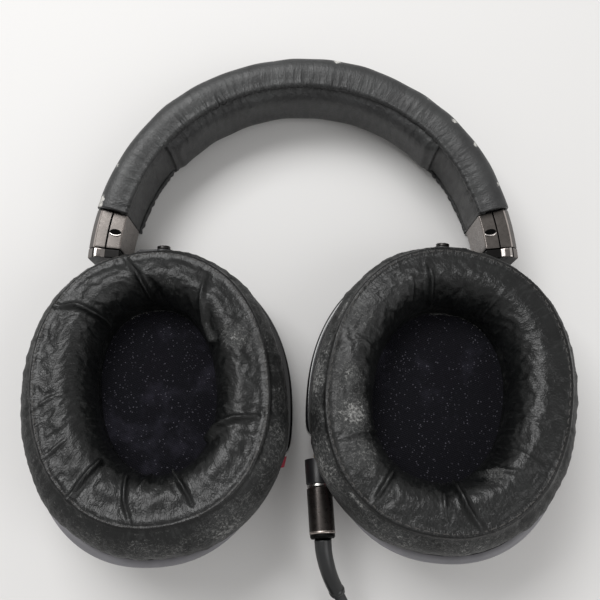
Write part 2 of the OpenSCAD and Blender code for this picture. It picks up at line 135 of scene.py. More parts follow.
class Paint:
    """A node material with its Principled shader, and short ways to add nodes."""

    def __init__(self, name, colour, rough, metallic=0.0):
        self.mat = bpy.data.materials.new(name)
        self.mat.use_nodes = True
        self.tree = self.mat.node_tree
        self.shader = self.tree.nodes["Principled BSDF"]
        self.set("Base Color", linear(colour))
        self.set("Roughness", rough)
        self.set("Metallic", metallic)

    def put(self, value, socket):
        if isinstance(value, Value):
            self.tree.links.new(value.socket, socket)
        else:
            socket.default_value = value

    def set(self, key, value):
        self.put(value, self.shader.inputs[key])

    def node(self, kind, output, inputs, **settings):
        n = self.tree.nodes.new("ShaderNode" + kind)
        for key, value in settings.items():
            setattr(n, key, value)
        for key, value in inputs.items():
            self.put(value, n.inputs[key])
        return Value(self, n.outputs[output])

    def coords(self):
        return self.node("TexCoord", "Object", {})

    def mapped(self, vector, scale=(1, 1, 1), turn=(0, 0, 0)):
        return self.node("Mapping", "Vector", {"Vector": vector, "Scale": scale, "Rotation": turn})

    def attribute(self, name, output="Fac"):
        return self.node("Attribute", output, {}, attribute_name=name)

    def noise(self, vector, scale, detail=3.0, rough=0.55, warp=0.0):
        inputs = {"Vector": vector, "Scale": scale, "Detail": detail, "Roughness": rough, "Distortion": warp}
        return self.node("TexNoise", "Fac", inputs)

    def cells(self, vector, scale, feature="F1"):
        return self.node("TexVoronoi", "Distance", {"Vector": vector, "Scale": scale}, feature=feature)

    def wave(self, vector, scale, direction, warp):
        inputs = {"Vector": vector, "Scale": scale, "Distortion": warp}
        return self.node("TexWave", "Fac", inputs, bands_direction=direction)

    def math(self, kind, a, b=0.0, clamp=False):
        return self.node("Math", 0, {0: a, 1: b}, operation=kind, use_clamp=clamp)

    def span(self, value, low, high, to_low=0.0, to_high=1.0):
        inputs = {"Value": value, "From Min": low, "From Max": high, "To Min": to_low, "To Max": to_high}
        return self.node("MapRange", "Result", inputs, interpolation_type="SMOOTHSTEP")

    def mix(self, fac, a, b):
        """A mix of two colours, each a value, a linear colour or a hex code."""
        a, b = (linear(c) if isinstance(c, str) else c for c in (a, b))
        return self.node("Mix", MIX_RESULT, {"Factor": fac, MIX_A: a, MIX_B: b}, data_type="RGBA")

    def bump(self, height, distance, strength, under=None):
        inputs = {"Height": height, "Distance": distance, "Strength": strength}
        if under is not None:
            inputs["Normal"] = under
        return self.node("Bump", "Normal", inputs)


def pad_leather(name):
    m = Paint(name, "161718", 0.45)
    obj = m.coords()
    flow = m.attribute("flow", "Vector")
    wear = m.attribute("wear")
    seam = m.attribute("seam")
    wall = m.attribute("wall")
    lines = m.noise(m.mapped(flow, (1, 1, 0.14)), 900, 3, 0.6, 0.4)
    folds = m.noise(m.mapped(flow, (1, 1, 0.3)), 480, 5, 0.65, 0.6)
    creases = m.cells(m.mapped(flow, (1, 1, 0.5)), 1000, "DISTANCE_TO_EDGE")
    broad = m.noise(m.mapped(flow, (1, 1, 0.6)), 70)
    patch = m.noise(obj, 160, 7, 0.7, 0.6)
    flakes = m.noise(obj, 1100, 6, 0.75, 0.3)
    ridge = abs(m.noise(obj, 330, 6, 0.75, 1.6) - 0.5)
    crack = m.span(ridge, 0.0, 0.028, 1.0, 0.0)
    amount = patch * 0.6 + flakes * 0.6
    worn = wear + wall * 0.22
    edge = 1.0 - worn * 0.5
    bare = m.span(amount, edge, edge + 0.12)
    cracked = crack * m.span(amount + worn * 0.6, 0.78, 1.0)
    white = m.math("MAXIMUM", bare * 0.8, cracked * 0.6, True)
    skin = m.mix(m.span(broad, 0.3, 0.7), "090a0a", "131414")
    skin = m.mix(m.span(lines, 0.52, 0.7) * 0.3, skin, "343535")
    skin = m.mix(m.span(flakes + worn, 0.9, 1.4) * 0.5, skin, "3a3b3b")
    # Painted shade: the leather is darker along its fine creases.
    skin = m.mix(m.span(creases, 0.06, 0.0) * 0.25, skin, "060606")
    cloth = m.mix(m.span(flakes, 0.4, 0.65), "3e3e3e", "949492")
    # Painted shade: the seam attribute turns the colour near black along the seam's groove.
    m.set("Base Color", m.mix(seam * 0.85, m.mix(white, skin, cloth), "050505"))
    matte = m.math("MAXIMUM", m.span(wear, 0.25, 0.8, 0.0, 0.25), wall * 0.2)
    gloss = m.span(folds, 0.3, 0.7, 0.3, 0.42) + matte
    m.set("Roughness", m.math("ADD", gloss, white * 0.3, True))
    normal = m.bump(folds * 0.8 + lines * 0.5, 0.00017, 0.7)
    normal = m.bump(m.span(creases, 0.0, 0.22), 0.00006, 0.6, normal)
    normal = m.bump(flakes * (worn + 0.03), 0.00028, 0.6, normal)
    normal = m.bump(m.cells(obj, 1500), 0.00008, 0.4, normal)
    m.set("Normal", m.bump(1.0 - bare, 0.00025, 0.9, normal))
    m.set("Specular IOR Level", 0.36)
    return m.mat


def band_leather(name, dark, light, wrinkle):
    m = Paint(name, dark, 0.5)
    obj = m.coords()
    flow = m.attribute("flow", "Vector")
    wear = m.attribute("wear")
    folds = m.noise(m.mapped(flow, (1, 0.28, 1)), 420, 4, 0.6, 0.5)
    broad = m.noise(flow, 60, 3, 0.5)
    grain = m.cells(obj, 1350)
    tiny = m.noise(obj, 2600, 2)
    patch = m.noise(obj, 140, 5, 0.65, 0.5)
    flakes = m.noise(obj, 700, 5, 0.7, 0.6)
    edge = 1.12 - wear * 0.72
    bare = m.span(patch * 0.7 + flakes * 0.5, edge, edge + 0.07)
    skin = m.mix(m.span(broad, 0.3, 0.7), dark, light)
    skin = m.mix(m.span(grain, 0.2, 0.8) * 0.3, skin, light)
    skin = m.mix(wear * 0.2, skin, "5f6061")
    cloth = m.mix(m.span(flakes, 0.35, 0.7), "8f8e8b", "cfcdc8")
    m.set("Base Color", m.mix(bare, skin, cloth))
    m.set("Roughness", m.span(folds, 0.3, 0.7, 0.42, 0.54) + bare * 0.3)
    normal = m.bump(folds * (m.attribute("gather") * wrinkle + 0.12), 0.0016, 0.9)
    normal = m.bump(grain + tiny * 0.4, 0.0001, 0.5, normal)
    m.set("Normal", m.bump(1.0 - bare, 0.0002, 0.8, normal))
    return m.mat


def knit(name, dark, light, lint="8f8d95", amount=0.5):
    m = Paint(name, dark, 0.95)
    obj = m.coords()
    slant = m.mapped(obj, turn=(0, 0, 0.4))
    weave = m.wave(slant, 560, "X", 0.5) * m.wave(slant, 460, "Y", 0.5)
    fuzz = m.noise(obj, 2200)
    cloud = m.noise(obj, 60, 4, 0.6)
    picked = m.span(m.cells(obj, 900), 0.16, 0.26, 1.0, 0.0) * m.span(m.noise(obj, 420, 2), 0.44, 0.56)
    body = m.mix(weave * m.span(fuzz, 0.3, 0.7), dark, light)
    body = m.mix(m.span(cloud, 0.5, 0.8) * 0.35, body, "454350")
    m.set("Base Color", m.mix(picked * amount, body, lint))
    m.set("Normal", m.bump(weave + fuzz * 0.7, 0.0004, 0.8))
    m.set("Sheen Weight", 0.04)
    m.set("Sheen Roughness", 0.5)
    m.set("Specular IOR Level", 0.15)
    return m.mat


def metal(name, colour, rough):
    m = Paint(name, colour, rough, 1.0)
    streak = m.noise(m.coords(), 900, 3, 0.6)
    cloud = m.noise(m.coords(), 120, 4, 0.6)
    m.set("Base Color", m.mix(m.span(cloud, 0.4, 0.8) * 0.35, colour, linear(colour, 0.55)))
    m.set("Roughness", m.span(streak, 0.3, 0.7, rough * 0.8, rough * 1.2) + m.span(cloud, 0.5, 0.8) * 0.1)
    m.set("Normal", m.bump(streak, 0.00003, 0.3))
    return m.mat


def banded(name, base, light, dark, rough, metallic):
    """A metal with painted light and shade: a value stored at its points runs from painted shade at -1 through its base
    colour to a painted highlight at 1.
    """
    m = Paint(name, base, rough, metallic)
    painted_light = m.attribute("painted_light")
    streak = m.noise(m.coords(), 700, 3, 0.6)
    cloud = m.noise(m.coords(), 150, 4, 0.6)
    colour = m.mix(m.span(painted_light, 0.0, 1.0), base, light)
    colour = m.mix(m.span(painted_light, 0.0, -1.0), colour, dark)
    m.set("Base Color", m.mix(m.span(cloud, 0.45, 0.8) * 0.25, colour, dark))
    m.set("Roughness", m.span(streak, 0.3, 0.7, rough * 0.85, rough * 1.2) + m.span(painted_light, 0.0, -1.0, 0.0, 0.25))
    m.set("Normal", m.bump(streak, 0.00003, 0.3))
    return m.mat


def plastic(name, colour, rough, grain=1200, depth=0.00004, coat=0.0, specular=0.5):
    m = Paint(name, colour, rough)
    cloud = m.noise(m.coords(), 60, 4, 0.6)
    m.set("Base Color", m.mix(m.span(cloud, 0.35, 0.75) * 0.6, colour, linear(colour, 1.5, 0.004)))
    m.set("Roughness", m.span(cloud, 0.3, 0.7, rough * 0.85, rough * 1.15))
    m.set("Normal", m.bump(m.noise(m.coords(), grain), depth, 0.5))
    m.set("Specular IOR Level", specular)
    m.set("Coat Weight", coat)
    m.set("Coat Roughness", 0.12)
    return m.mat


def thread(name, colour):
    m = Paint(name, colour, 0.8)
    twist = m.wave(m.mapped(m.coords(), turn=(0.6, 0.5, 0.7)), 1500, "X", 0.3)
    m.set("Base Color", m.mix(twist, linear(colour, 0.5), colour))
    m.set("Normal", m.bump(twist, 0.0001, 0.6))
    return m.mat


# ---------------------------------------------------------------- mesh helpers
def circle(count):
    """Evenly spaced angles round a full turn."""
    return np.linspace(0, 2 * math.pi, count, endpoint=False)


def hill(x, centre, width):
    """A smooth bump that is 1 at its centre."""
    return np.exp(-(((x - centre) / width) ** 2))


def ease(x, low, high):
    t = np.clip((x - low) / (high - low), 0, 1)
    return t * t * (3 - 2 * t)


def between(a, b, c, d, t):
    """A point from b at 0 to c at 1 on a smooth curve through four points."""
    return 0.5 * (2 * b + (c - a) * t + (2 * a - 5 * b + 4 * c - d) * t * t + (3 * b - a - 3 * c + d) * t ** 3)


def unit(v):
    return v / np.linalg.norm(v)


def distances(path):
    """How far along a path each of its points is."""
    return np.concatenate([[0], np.cumsum(np.linalg.norm(np.diff(path, axis=0), axis=1))])


def add_mesh(name, points, faces, material, body):
    """A mesh piece from points in metres in the row frame."""
    mesh = bpy.data.meshes.new(name)
    mesh.from_pydata([tuple(map(float, p)) for p in points], [], [tuple(map(int, f)) for f in faces])
    mesh.validate()
    mesh.polygons.foreach_set("use_smooth", [True] * len(mesh.polygons))
    obj = bpy.data.objects.new(name, mesh)
    bpy.context.scene.collection.objects.link(obj)
    mesh.materials.append(material)
    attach(obj, body)
    return obj


def grid_faces(rows, cols, wrap_rows=False, wrap_cols=True, flip=False):
    out = []
    for r in range(rows if wrap_rows else rows - 1):
        for c in range(cols if wrap_cols else cols - 1):
            r1, c1 = (r + 1) % rows, (c + 1) % cols
            quad = (r * cols + c, r * cols + c1, r1 * cols + c1, r1 * cols + c)
            out.append(quad[::-1] if flip else quad)
    return out


def add_grid(name, grid, material, body, wrap_rows=False, wrap_cols=True, flip=False, caps=False):
    rows, cols = grid.shape[:2]
    faces = grid_faces(rows, cols, wrap_rows, wrap_cols, flip)
    if caps:
        first = tuple(range(cols))
        last = tuple((rows - 1) * cols + i for i in range(cols))
        faces += [first if flip else first[::-1], last[::-1] if flip else last]
    return add_mesh(name, grid.reshape(-1, 3), faces, material, body)


def mark(obj, name, values):
    """Stores one value or vector at each point, for the materials."""
    values = np.asarray(values, np.float32)
    if values.ndim > 1 and values.shape[-1] == 3:
        layer = obj.data.attributes.new(name, "FLOAT_VECTOR", "POINT")
        layer.data.foreach_set("vector", values.reshape(-1))
    else:
        layer = obj.data.attributes.new(name, "FLOAT", "POINT")
        layer.data.foreach_set("value", values.reshape(-1))


def smooth_path(points, steps):
    """Extra points between the chosen ones, on a smooth curve through them."""
    p = np.asarray(points, float)
    out = []
    for i in range(len(p) - 1):
        a, b, c, d = p[max(i - 1, 0)], p[i], p[i + 1], p[min(i + 2, len(p) - 1)]
        for s in range(steps):
            out.append(between(a, b, c, d, s / steps))
    out.append(p[-1])
    return np.array(out)


def evenly(path, values, count):
    """The values at places the same distance apart along a closed path."""
    far = distances(path)
    at = np.linspace(0, far[-1], count, endpoint=False)
    return np.stack([np.interp(at, far, v) for v in np.transpose(values)], -1)


def closed_path(points, count):
    """A smooth closed curve through the points, cut into equal lengths."""
    p = np.asarray(points, float)
    out = []
    for i in range(len(p)):
        a, b, c, d = p[i - 1], p[i], p[(i + 1) % len(p)], p[(i + 2) % len(p)]
        for s in range(12):
            out.append(between(a, b, c, d, s / 12))
    out.append(out[0])
    return evenly(np.array(out), out, count)


def path_frames(p):
    """Two directions across a path at each of its points."""
    d = np.gradient(p, axis=0)
    d /= np.linalg.norm(d, axis=1)[:, None]
    up = np.array([0.0, 0.0, 1.0])
    s = np.cross(d, up)
    s /= np.linalg.norm(s, axis=1)[:, None] + 1e-12
    return s, np.cross(s, d)


def tube_grid(path, radii, sides=20):
    s, u = path_frames(path)
    t = circle(sides)
    radii = np.broadcast_to(radii, (len(path),))
    around = s[:, None] * np.cos(t)[None, :, None] + u[:, None] * np.sin(t)[None, :, None]
    return path[:, None] + radii[:, None, None] * around


def lathe_grid(profile, origin, axis, sides=48):
    """Rings of a turned part: profile is [radius, distance along the axis]."""
    axis = unit(np.asarray(axis, float))
    a = np.cross(axis, [0.0, 0.0, 1.0])
    if np.linalg.norm(a) < 0.1:
        a = np.cross(axis, [0.0, 1.0, 0.0])
    a = unit(a)
    b = np.cross(axis, a)
    t = circle(sides)
    ring = np.cos(t)[:, None] * a + np.sin(t)[:, None] * b
    return np.array([np.asarray(origin, float) + r * ring + h * axis for r, h in profile])


def oval(a, b, t):
    """Points of the cups' oval at parameters t in radians."""
    c, s = np.cos(t), np.sin(t)
    return np.stack([a * np.sign(c) * np.abs(c) ** (2 / OVAL_N), b * np.sign(s) * np.abs(s) ** (2 / OVAL_N)], -1)


# ---------------------------------------------------------------- camera, floor and light
scene = bpy.context.scene
camera = bpy.data.objects.new("camera", bpy.data.cameras.new("camera"))
scene.collection.objects.link(camera)
camera.location = (0.0003, -0.0603, 0.320)
camera.rotation_euler = (math.radians(11.2), 0, 0)
camera.data.lens = 48
camera.data.sensor_width = 36
camera.data.clip_start = 0.01
scene.camera = camera
scene.view_settings.view_transform = "Standard"

world = bpy.data.worlds.new("studio")
scene.world = world
world.use_nodes = True
backdrop = world.node_tree.nodes["Background"]
backdrop.inputs["Color"].default_value = (0.97, 0.965, 0.955, 1)
backdrop.inputs["Strength"].default_value = 0.54


def softbox(name, place, aim, size, power):
    light = bpy.data.lights.new(name, "AREA")
    light.shape = "RECTANGLE"
    light.size = size[0]
    light.size_y = size[1]
    light.energy = power
    obj = bpy.data.objects.new(name, light)
    obj.location = place
    obj.rotation_euler = (Vector(aim) - Vector(place)).to_track_quat("-Z", "Y").to_euler()
    scene.collection.objects.link(obj)


softbox("key", (-0.35, 0.55, 0.95), (0, 0, 0), (0.8, 0.5), 10.5)
softbox("fill", (0.8, -0.35, 0.9), (0, -0.02, 0), (0.6, 0.8), 3.2)

floor_paint = Paint("floor_paint", "d5d4d3", 0.6)
floor_cloud = floor_paint.noise(floor_paint.coords(), 3.0, 2)
floor_paint.set("Base Color", floor_paint.mix(floor_cloud, "d3d2d1", "d7d6d5"))
floor_mesh = bpy.data.meshes.new("floor")
floor_mesh.from_pydata([(-4, -4, 0), (4, -4, 0), (4, 4, 0), (-4, 4, 0)], [], [(0, 1, 2, 3)])
floor = bpy.data.objects.new("floor", floor_mesh)
scene.collection.objects.link(floor)
floor_mesh.materials.append(floor_paint.mat)
floor.location.z = -0.0002

# ---------------------------------------------------------------- materials
RELIEF = plastic("relief_rubber", "151617", 0.36, 1200, 0.00003)
RUBBER = plastic("rubber", "2b2c2e", 0.62, 1500, 0.00006)
CORD = plastic("cord_jacket", "2d2e30", 0.66, 900, 0.00022)
BRASS = metal("brass", "c9a45a", 0.28)
GUNMETAL = metal("gunmetal", "3d3937", 0.3)

# ---------------------------------------------------------------- cord
CABLE_ROUTE = (
    (14, -108, 16.3), (16, -112, 13.6), (18, -117.5, 10.2), (19.2, -124, 6.6), (19.6, -131, 3.9), (19.6, -139, 2.4),
    (19, -147, 2.1), (19, -152, 2.1),
)
TAIL_ROUTE = (
    (-5, -176, 14), (-13, -176, 13.4), (-21, -176, 10.2), (-30, -176, 6), (-39, -176, 4.6), (-46, -176, 4.5),
)
COIL = (-5.0, -152.0)
CORD_D = 4.0


def coil_points():
    """Turns beside and on each other: each change of place comes a little earlier than the one before."""
    slots = [(24, 2.1), (20, 2.1), (20, 6.05), (24, 6.05), (24, 10.0), (20, 10.0), (20, 13.95), (24, 13.95)]
    total = 7 * 360 + 90
    out = []
    for deg in np.arange(6, total, 9.0):
        r, z = slots[0]
        for k in range(7):
            t = np.clip((deg - (312 + 330 * k - 22)) / 44, 0, 1)
            f = t * t * (3 - 2 * t)
            r += (slots[k + 1][0] - slots[k][0]) * f
            z += (slots[k + 1][1] - slots[k][1]) * f
        a = -math.radians(deg)
        out.append([COIL[0] + r * math.cos(a), COIL[1] + r * math.sin(a), z])
    return np.array(out)


cord_points = np.concatenate([smooth_path(CABLE_ROUTE, 4), coil_points(), smooth_path(TAIL_ROUTE, 4)])
curve = bpy.data.curves.new("cord", "CURVE")
curve.dimensions = "3D"
curve.bevel_depth = CORD_D / 2 * MM
curve.bevel_resolution = 5
curve.use_fill_caps = True
line = curve.splines.new("POLY")
line.points.add(len(cord_points) - 1)
for point, xyz in zip(line.points, cord_points):
    point.co = (*(xyz * MM), 1)
line.use_smooth = True
curve.materials.append(CORD)
cord = bpy.data.objects.new("cord", curve)
scene.collection.objects.link(cord)
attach(cord, "right_cup")
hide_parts("cable", "cable_coil", "cable_tail")

PLUG_AXIS = (-1, 0, 0)
far_profile = [
    (0.01, 0), (2.2, 0), (2.5, 0.4), (2.75, 3), (2.95, 6.6), (3.4, 7.4), (4.1, 7.8), (4.35, 8.4), (4.4, 10),
    (4.4, 14), (4.2, 14.3), (4.2, 15.0), (4.4, 15.3), (4.4, 22.6), (4.1, 23.6), (3.6, 24), (0.01, 24),
]
far_grid = lathe_grid(far_profile, TAIL_ROUTE[-1], PLUG_AXIS) * MM
far_body = add_grid("far_plug_shell", far_grid, GUNMETAL, "right_cup", flip=True)
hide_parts("far_plug_body")
pin_profile = [
    (0.01, 0), (1.75, 0), (1.75, 2.9), (1.5, 3.0), (1.5, 3.4), (1.75, 3.5), (1.75, 6.6), (1.5, 6.7), (1.5, 7.1),
    (1.75, 7.2), (1.75, 10.6), (1.35, 11.4), (1.7, 12.2), (0.7, 14), (0.01, 14),
]
pin_grid = lathe_grid(pin_profile, (-70.05, -176, 4.5), PLUG_AXIS) * MM
far_pin = add_grid("far_plug_contacts", pin_grid, BRASS, "right_cup", flip=True)
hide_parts("far_plug_pin")

TIE_LOOP = (
    (-134.5, 1.2), (-133.8, 0.45), (-130, 0.35), (-126.2, 0.45), (-125.5, 1.2), (-125.4, 8.5),
    (-125.5, 16.1), (-126.2, 16.8), (-130, 17.1), (-133.8, 16.8), (-134.5, 16.1), (-134.6, 8.5),
)
TIE_SECTION = (
    (-2.9, 0), (-2.7, 0.28), (-1.3, 0.36), (1.3, 0.36), (2.7, 0.28),
    (2.9, 0), (2.7, -0.22), (1.3, -0.28), (-1.3, -0.28), (-2.7, -0.22),
)
tie_loop = closed_path(TIE_LOOP, 72)
tie_grid = np.zeros((72, len(TIE_SECTION), 3))
for row, (y, z) in enumerate(tie_loop):
    away = unit(np.array([y + 130, z - 8.7]))
    for col, (x, lift) in enumerate(TIE_SECTION):
        tie_grid[row, col] = (COIL[0] + x, y + away[0] * lift, max(z + away[1] * lift, 0.05))
tie = add_grid("tie_strap", tie_grid * MM, RUBBER, "right_cup", True, True)
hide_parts("cable_tie")

# ---------------------------------------------------------------- ear pads
PAD_A = 46.4
PAD_SHIFT = 1.8
PAD_TURN = math.radians(7.6)
PAD_B = 56.0
PAD_ROWS = 210
PAD_COLS = 60
PAD_FLOOR = 20.45
PAD_STITCH_PITCH = 3.1
SEWN_LEVEL = 22.3
PAD_SECTION = (
    (-1.9, 20.5), (-0.5, 24), (-0.1, 30), (-1.3, 36), (-4.4, 40.6), (-9.4, 43.3), (-14, 43.9), (-19, 42.6),
    (-22.6, 38.6), (-24.4, 32.5), (-24.7, 26), (-24.2, 21.2), (-13, 20.5),
)


def turned_uv(uv, angle=PAD_TURN):
    """The pads sit a little turned on their cups: their upper ends lie further out."""
    uv = np.asarray(uv, float)
    c, s = math.cos(angle), math.sin(angle)
    return np.stack([uv[..., 0] * c - uv[..., 1] * s, uv[..., 0] * s + uv[..., 1] * c], -1)


CLOTH = {"quality": 5, "mass": 0.02, "tension_stiffness": 12, "compression_stiffness": 12, "shear_stiffness": 6,
         "bending_stiffness": 0.04, "air_damping": 2, "use_pressure": True}


def settle(grid, pinned, grow, pressure, cap, frames=18):
    """Swells a closed ring of leather by a cloth simulation: the leather is cut a little larger than the foam and
    is held where it is pinned, so it puckers. Coordinates in mm; no point moves further than cap."""
    rows, cols = grid.shape[:2]
    flat = grid.reshape(-1, 3)
    mesh = bpy.data.meshes.new("settling")
    mesh.from_pydata([tuple(p) for p in flat * 0.01], [], grid_faces(rows, cols, True, True, True))
    obj = bpy.data.objects.new("settling", mesh)
    scene.collection.objects.link(obj)
    pins = obj.vertex_groups.new(name="pins")
    for i in np.nonzero(pinned.reshape(-1) > 0.02)[0]:
        pins.add([int(i)], float(pinned.reshape(-1)[i]), "REPLACE")
    cloth = obj.modifiers.new("cloth", "CLOTH")
    cfg = cloth.settings
    for key, value in CLOTH.items():
        setattr(cfg, key, value)
    cfg.uniform_pressure_force = pressure
    cfg.shrink_min = -grow
    cfg.vertex_group_mass = "pins"
    cfg.effector_weights.gravity = 0
    cloth.point_cache.frame_start = 1
    cloth.point_cache.frame_end = frames
    for f in range(1, frames + 1):
        scene.frame_set(f)
    graph = bpy.context.evaluated_depsgraph_get()
    out = obj.evaluated_get(graph).to_mesh()
    moved = np.zeros(len(flat) * 3, np.float32)
    out.vertices.foreach_get("co", moved)
    moved = moved.reshape(-1, 3).astype(float) * 100 - flat
    obj.evaluated_get(graph).to_mesh_clear()
    bpy.data.objects.remove(obj)
    bpy.data.meshes.remove(mesh)
    scene.frame_set(1)
    far = np.linalg.norm(moved, axis=1)
    moved *= np.minimum(1, cap / np.maximum(far, 1e-9))[:, None]
    return (flat + moved).reshape(grid.shape)


def finer(grid, k):
    """A finer grid on smooth curves through the rows and the columns, both closed."""
    for axis in (0, 1):
        g = np.moveaxis(grid, axis, 0)
        a, b, c, d = np.roll(g, 1, 0), g, np.roll(g, -1, 0), np.roll(g, -2, 0)
        g = np.stack([between(a, b, c, d, s / k) for s in range(k)], 1).reshape(-1, *g.shape[1:])
        grid = np.moveaxis(g, 0, axis)
    return grid


def grid_normals(grid, closed_rows=True):
    along = np.roll(grid, -1, 0) - np.roll(grid, 1, 0) if closed_rows else np.gradient(grid, axis=0)
    across = np.roll(grid, -1, 1) - np.roll(grid, 1, 1)
    n = np.cross(across, along)
    return n / (np.linalg.norm(n, axis=-1)[..., None] + 1e-12)


def near_line(points, line):
    """Distance from points to a broken line, and how far along it, from 0 to 1."""
    best = np.full(points.shape[:-1], 1e9)
    where = np.zeros(points.shape[:-1])
    line = np.asarray(line, float)
    lengths = np.linalg.norm(np.diff(line, axis=0), axis=1)
    total = lengths.sum()
    start = 0.0
    for a, b, size in zip(line[:-1], line[1:], lengths):
        t = np.clip(((points - a) @ (b - a)) / size ** 2, 0, 1)
        d = np.linalg.norm(points - (a + t[..., None] * (b - a)), axis=-1)
        closer = d < best
        best = np.where(closer, d, best)
        where = np.where(closer, (start + t * size) / total, where)
        start += size
    return best, where


def ripples(turn, across, low, high, count, rng):
    """Fine folds that run across a roll, uneven round it, between -1 and 1."""
    out = np.zeros(np.broadcast(turn, across).shape)
    for _ in range(count):
        k = rng.integers(low, high)
        out = out + np.cos(k * turn + rng.uniform(0, 6.28) + rng.uniform(-2.2, 2.2) * across)
    return out / math.sqrt(count)


# Rings along one stitch: place along its length, height in mm, and share of the thread's radius.
STITCH_RINGS = ((-0.5, -0.3, 0.4), (-0.36, 0.02, 0.9), (0, 0.16, 1), (0.36, 0.02, 0.9), (0.5, -0.3, 0.4))


def stitches(name, marks, directions, normals, material, body, length=2.1, radius=0.26):
    """Short raised threads in one mesh, in mm in the row frame."""
    points = []
    faces = []
    sides = 6
    count = len(STITCH_RINGS)
    for p, d, n in zip(marks, directions, normals):
        side = np.cross(d, n)
        for along, lift, r in STITCH_RINGS:
            c = p + d * along * length + n * lift
            for k in range(sides):
                a = 2 * math.pi * k / sides
                points.append((c + radius * r * (side * math.cos(a) + n * math.sin(a))) * MM)
        base = len(points) - count * sides
        faces += [tuple(base + i for i in f) for f in grid_faces(count, sides)]
        faces.append(tuple(base + i for i in range(sides)))
        faces.append(tuple(base + (count - 1) * sides + i for i in reversed(range(sides))))
    return add_mesh(name, points, faces, material, body)


# seam: centre and half sizes of the sewn oval. open: shift of the opening along u and v, then its scale.
# tucks: line from outside to inside, depth, width. worn: place (u, v, height), reach, strength.
PADS = {
    LEFT: {
        "seam": (1.7, 3.3, 39.9, 48.2),
        "open": (1.7, 5.0, 1.0, 1.02),
        "tucks": (
            (((-9.0, 49.1), (-4.8, 43.7), (2.9, 32.5)), 2.4, 1.0),
            (((20.2, 43.3), (18.8, 34.6), (19.7, 25.6), (22.5, 18.9)), 1.9, 0.9),
            (((-32.5, 31.5), (-25.4, 31.5), (-14.3, 27.3)), 2.6, 1.1),
            (((38.6, -9.5), (30.2, -9.8), (25.0, -11.9), (21.3, -15.7)), 2.4, 1.0),
            (((17.4, -38.1), (14.3, -32.4), (10.2, -27.2)), 2.2, 0.9),
            (((-2.2, -43.7), (-4.7, -37.0), (-5.2, -28.3)), 1.7, 0.8),
            (((-0.6, -32.1), (1.1, -29.6), (2.2, -27.4)), 1.2, 0.7),
            (((-22.6, -35.2), (-19.3, -30.3), (-14.3, -23.8)), 2.6, 1.1),
            (((-37.6, -6.2), (-32.7, -2.0), (-26.9, -0.2)), 0.6, 0.7),
            (((-33.2, -22.7), (-25.6, -16.2)), 0.6, 0.7),
            (((-35.2, -16.4), (-25.9, -10.9)), 0.4, 0.6),
            (((33.3, 26.9), (24.8, 18.4)), 0.8, 0.8),
        ),
        "worn": (
            (31, 19, 43, 6, 0.95), (38, 17, 42, 5, 0.6), (44, -19, 33, 13, 0.6), (29, -45, 35, 13, 0.75),
            (4, -55, 33, 14, 0.6), (-18, -53, 31, 13, 0.55), (-37, -37, 33, 10, 0.55), (-47, 1, 30, 13, 0.35),
            (6, 42, 43, 7, 0.35), (2, 55, 34, 14, 0.3), (36, 37, 36, 9, 0.45), (-22, -22, 42, 6, 0.4),
            (-29, 45, 36, 9, 0.3), (11, -29, 40, 5, 0.4),
        ),
    },
    RIGHT: {
        "seam": (1.5, 1.4, 41.0, 49.8),
        "open": (2.5, 1.8, 1.12, 1.04),
        "tucks": (
            (((9.7, 46.4), (8.4, 39.3), (7.3, 31.8)), 2.2, 1.0),
            (((15.2, 39.2), (14.7, 31.2)), 0.8, 0.8),
            (((25.9, -39.7), (23.2, -35.0), (20.7, -30.3)), 2.2, 1.0),
            (((3.1, -43.8), (3.2, -35.5)), 1.0, 0.8),
            (((-8.4, -45.4), (-3.9, -39.5), (-0.7, -32.4)), 2.6, 1.1),
            (((-20.7, -26.8), (-14.5, -26.6), (-7.9, -27.6)), 1.6, 0.8),
            (((38.0, -20.3), (31.5, -17.2), (22.9, -14.2)), 0.9, 0.8),
            (((-29.9, -25.5), (-21.9, -20.1), (-14.3, -16.6)), 0.5, 0.7),
            (((-24.7, 19.9), (-16.2, 14.9)), 0.5, 0.7),
            (((38.2, 18.3), (29.3, 13.5)), 0.5, 0.7),
            (((-18.9, 37.9), (-11.1, 29.6)), 0.6, 0.8),
            (((-33.5, -9.6), (-22.4, -8.0)), 0.4, 0.6),
        ),
        "worn": (
            (34, -11, 43, 8, 1.15), (36, 2, 43, 7, 0.8), (30, -24, 43, 7, 0.85), (46, 4, 34, 15, 0.85),
            (42, -28, 34, 13, 0.8), (20, -52, 34, 14, 0.75), (-8, -56, 33, 14, 0.7), (-31, -46, 34, 10, 0.45),
            (34, 23, 43, 9, 0.6), (22, 49, 38, 9, 0.4), (-14, -28, 42, 5, 0.7), (-46, 1, 30, 14, 0.25),
            (21, 34, 42, 7, 0.4),
        ),
    },
}


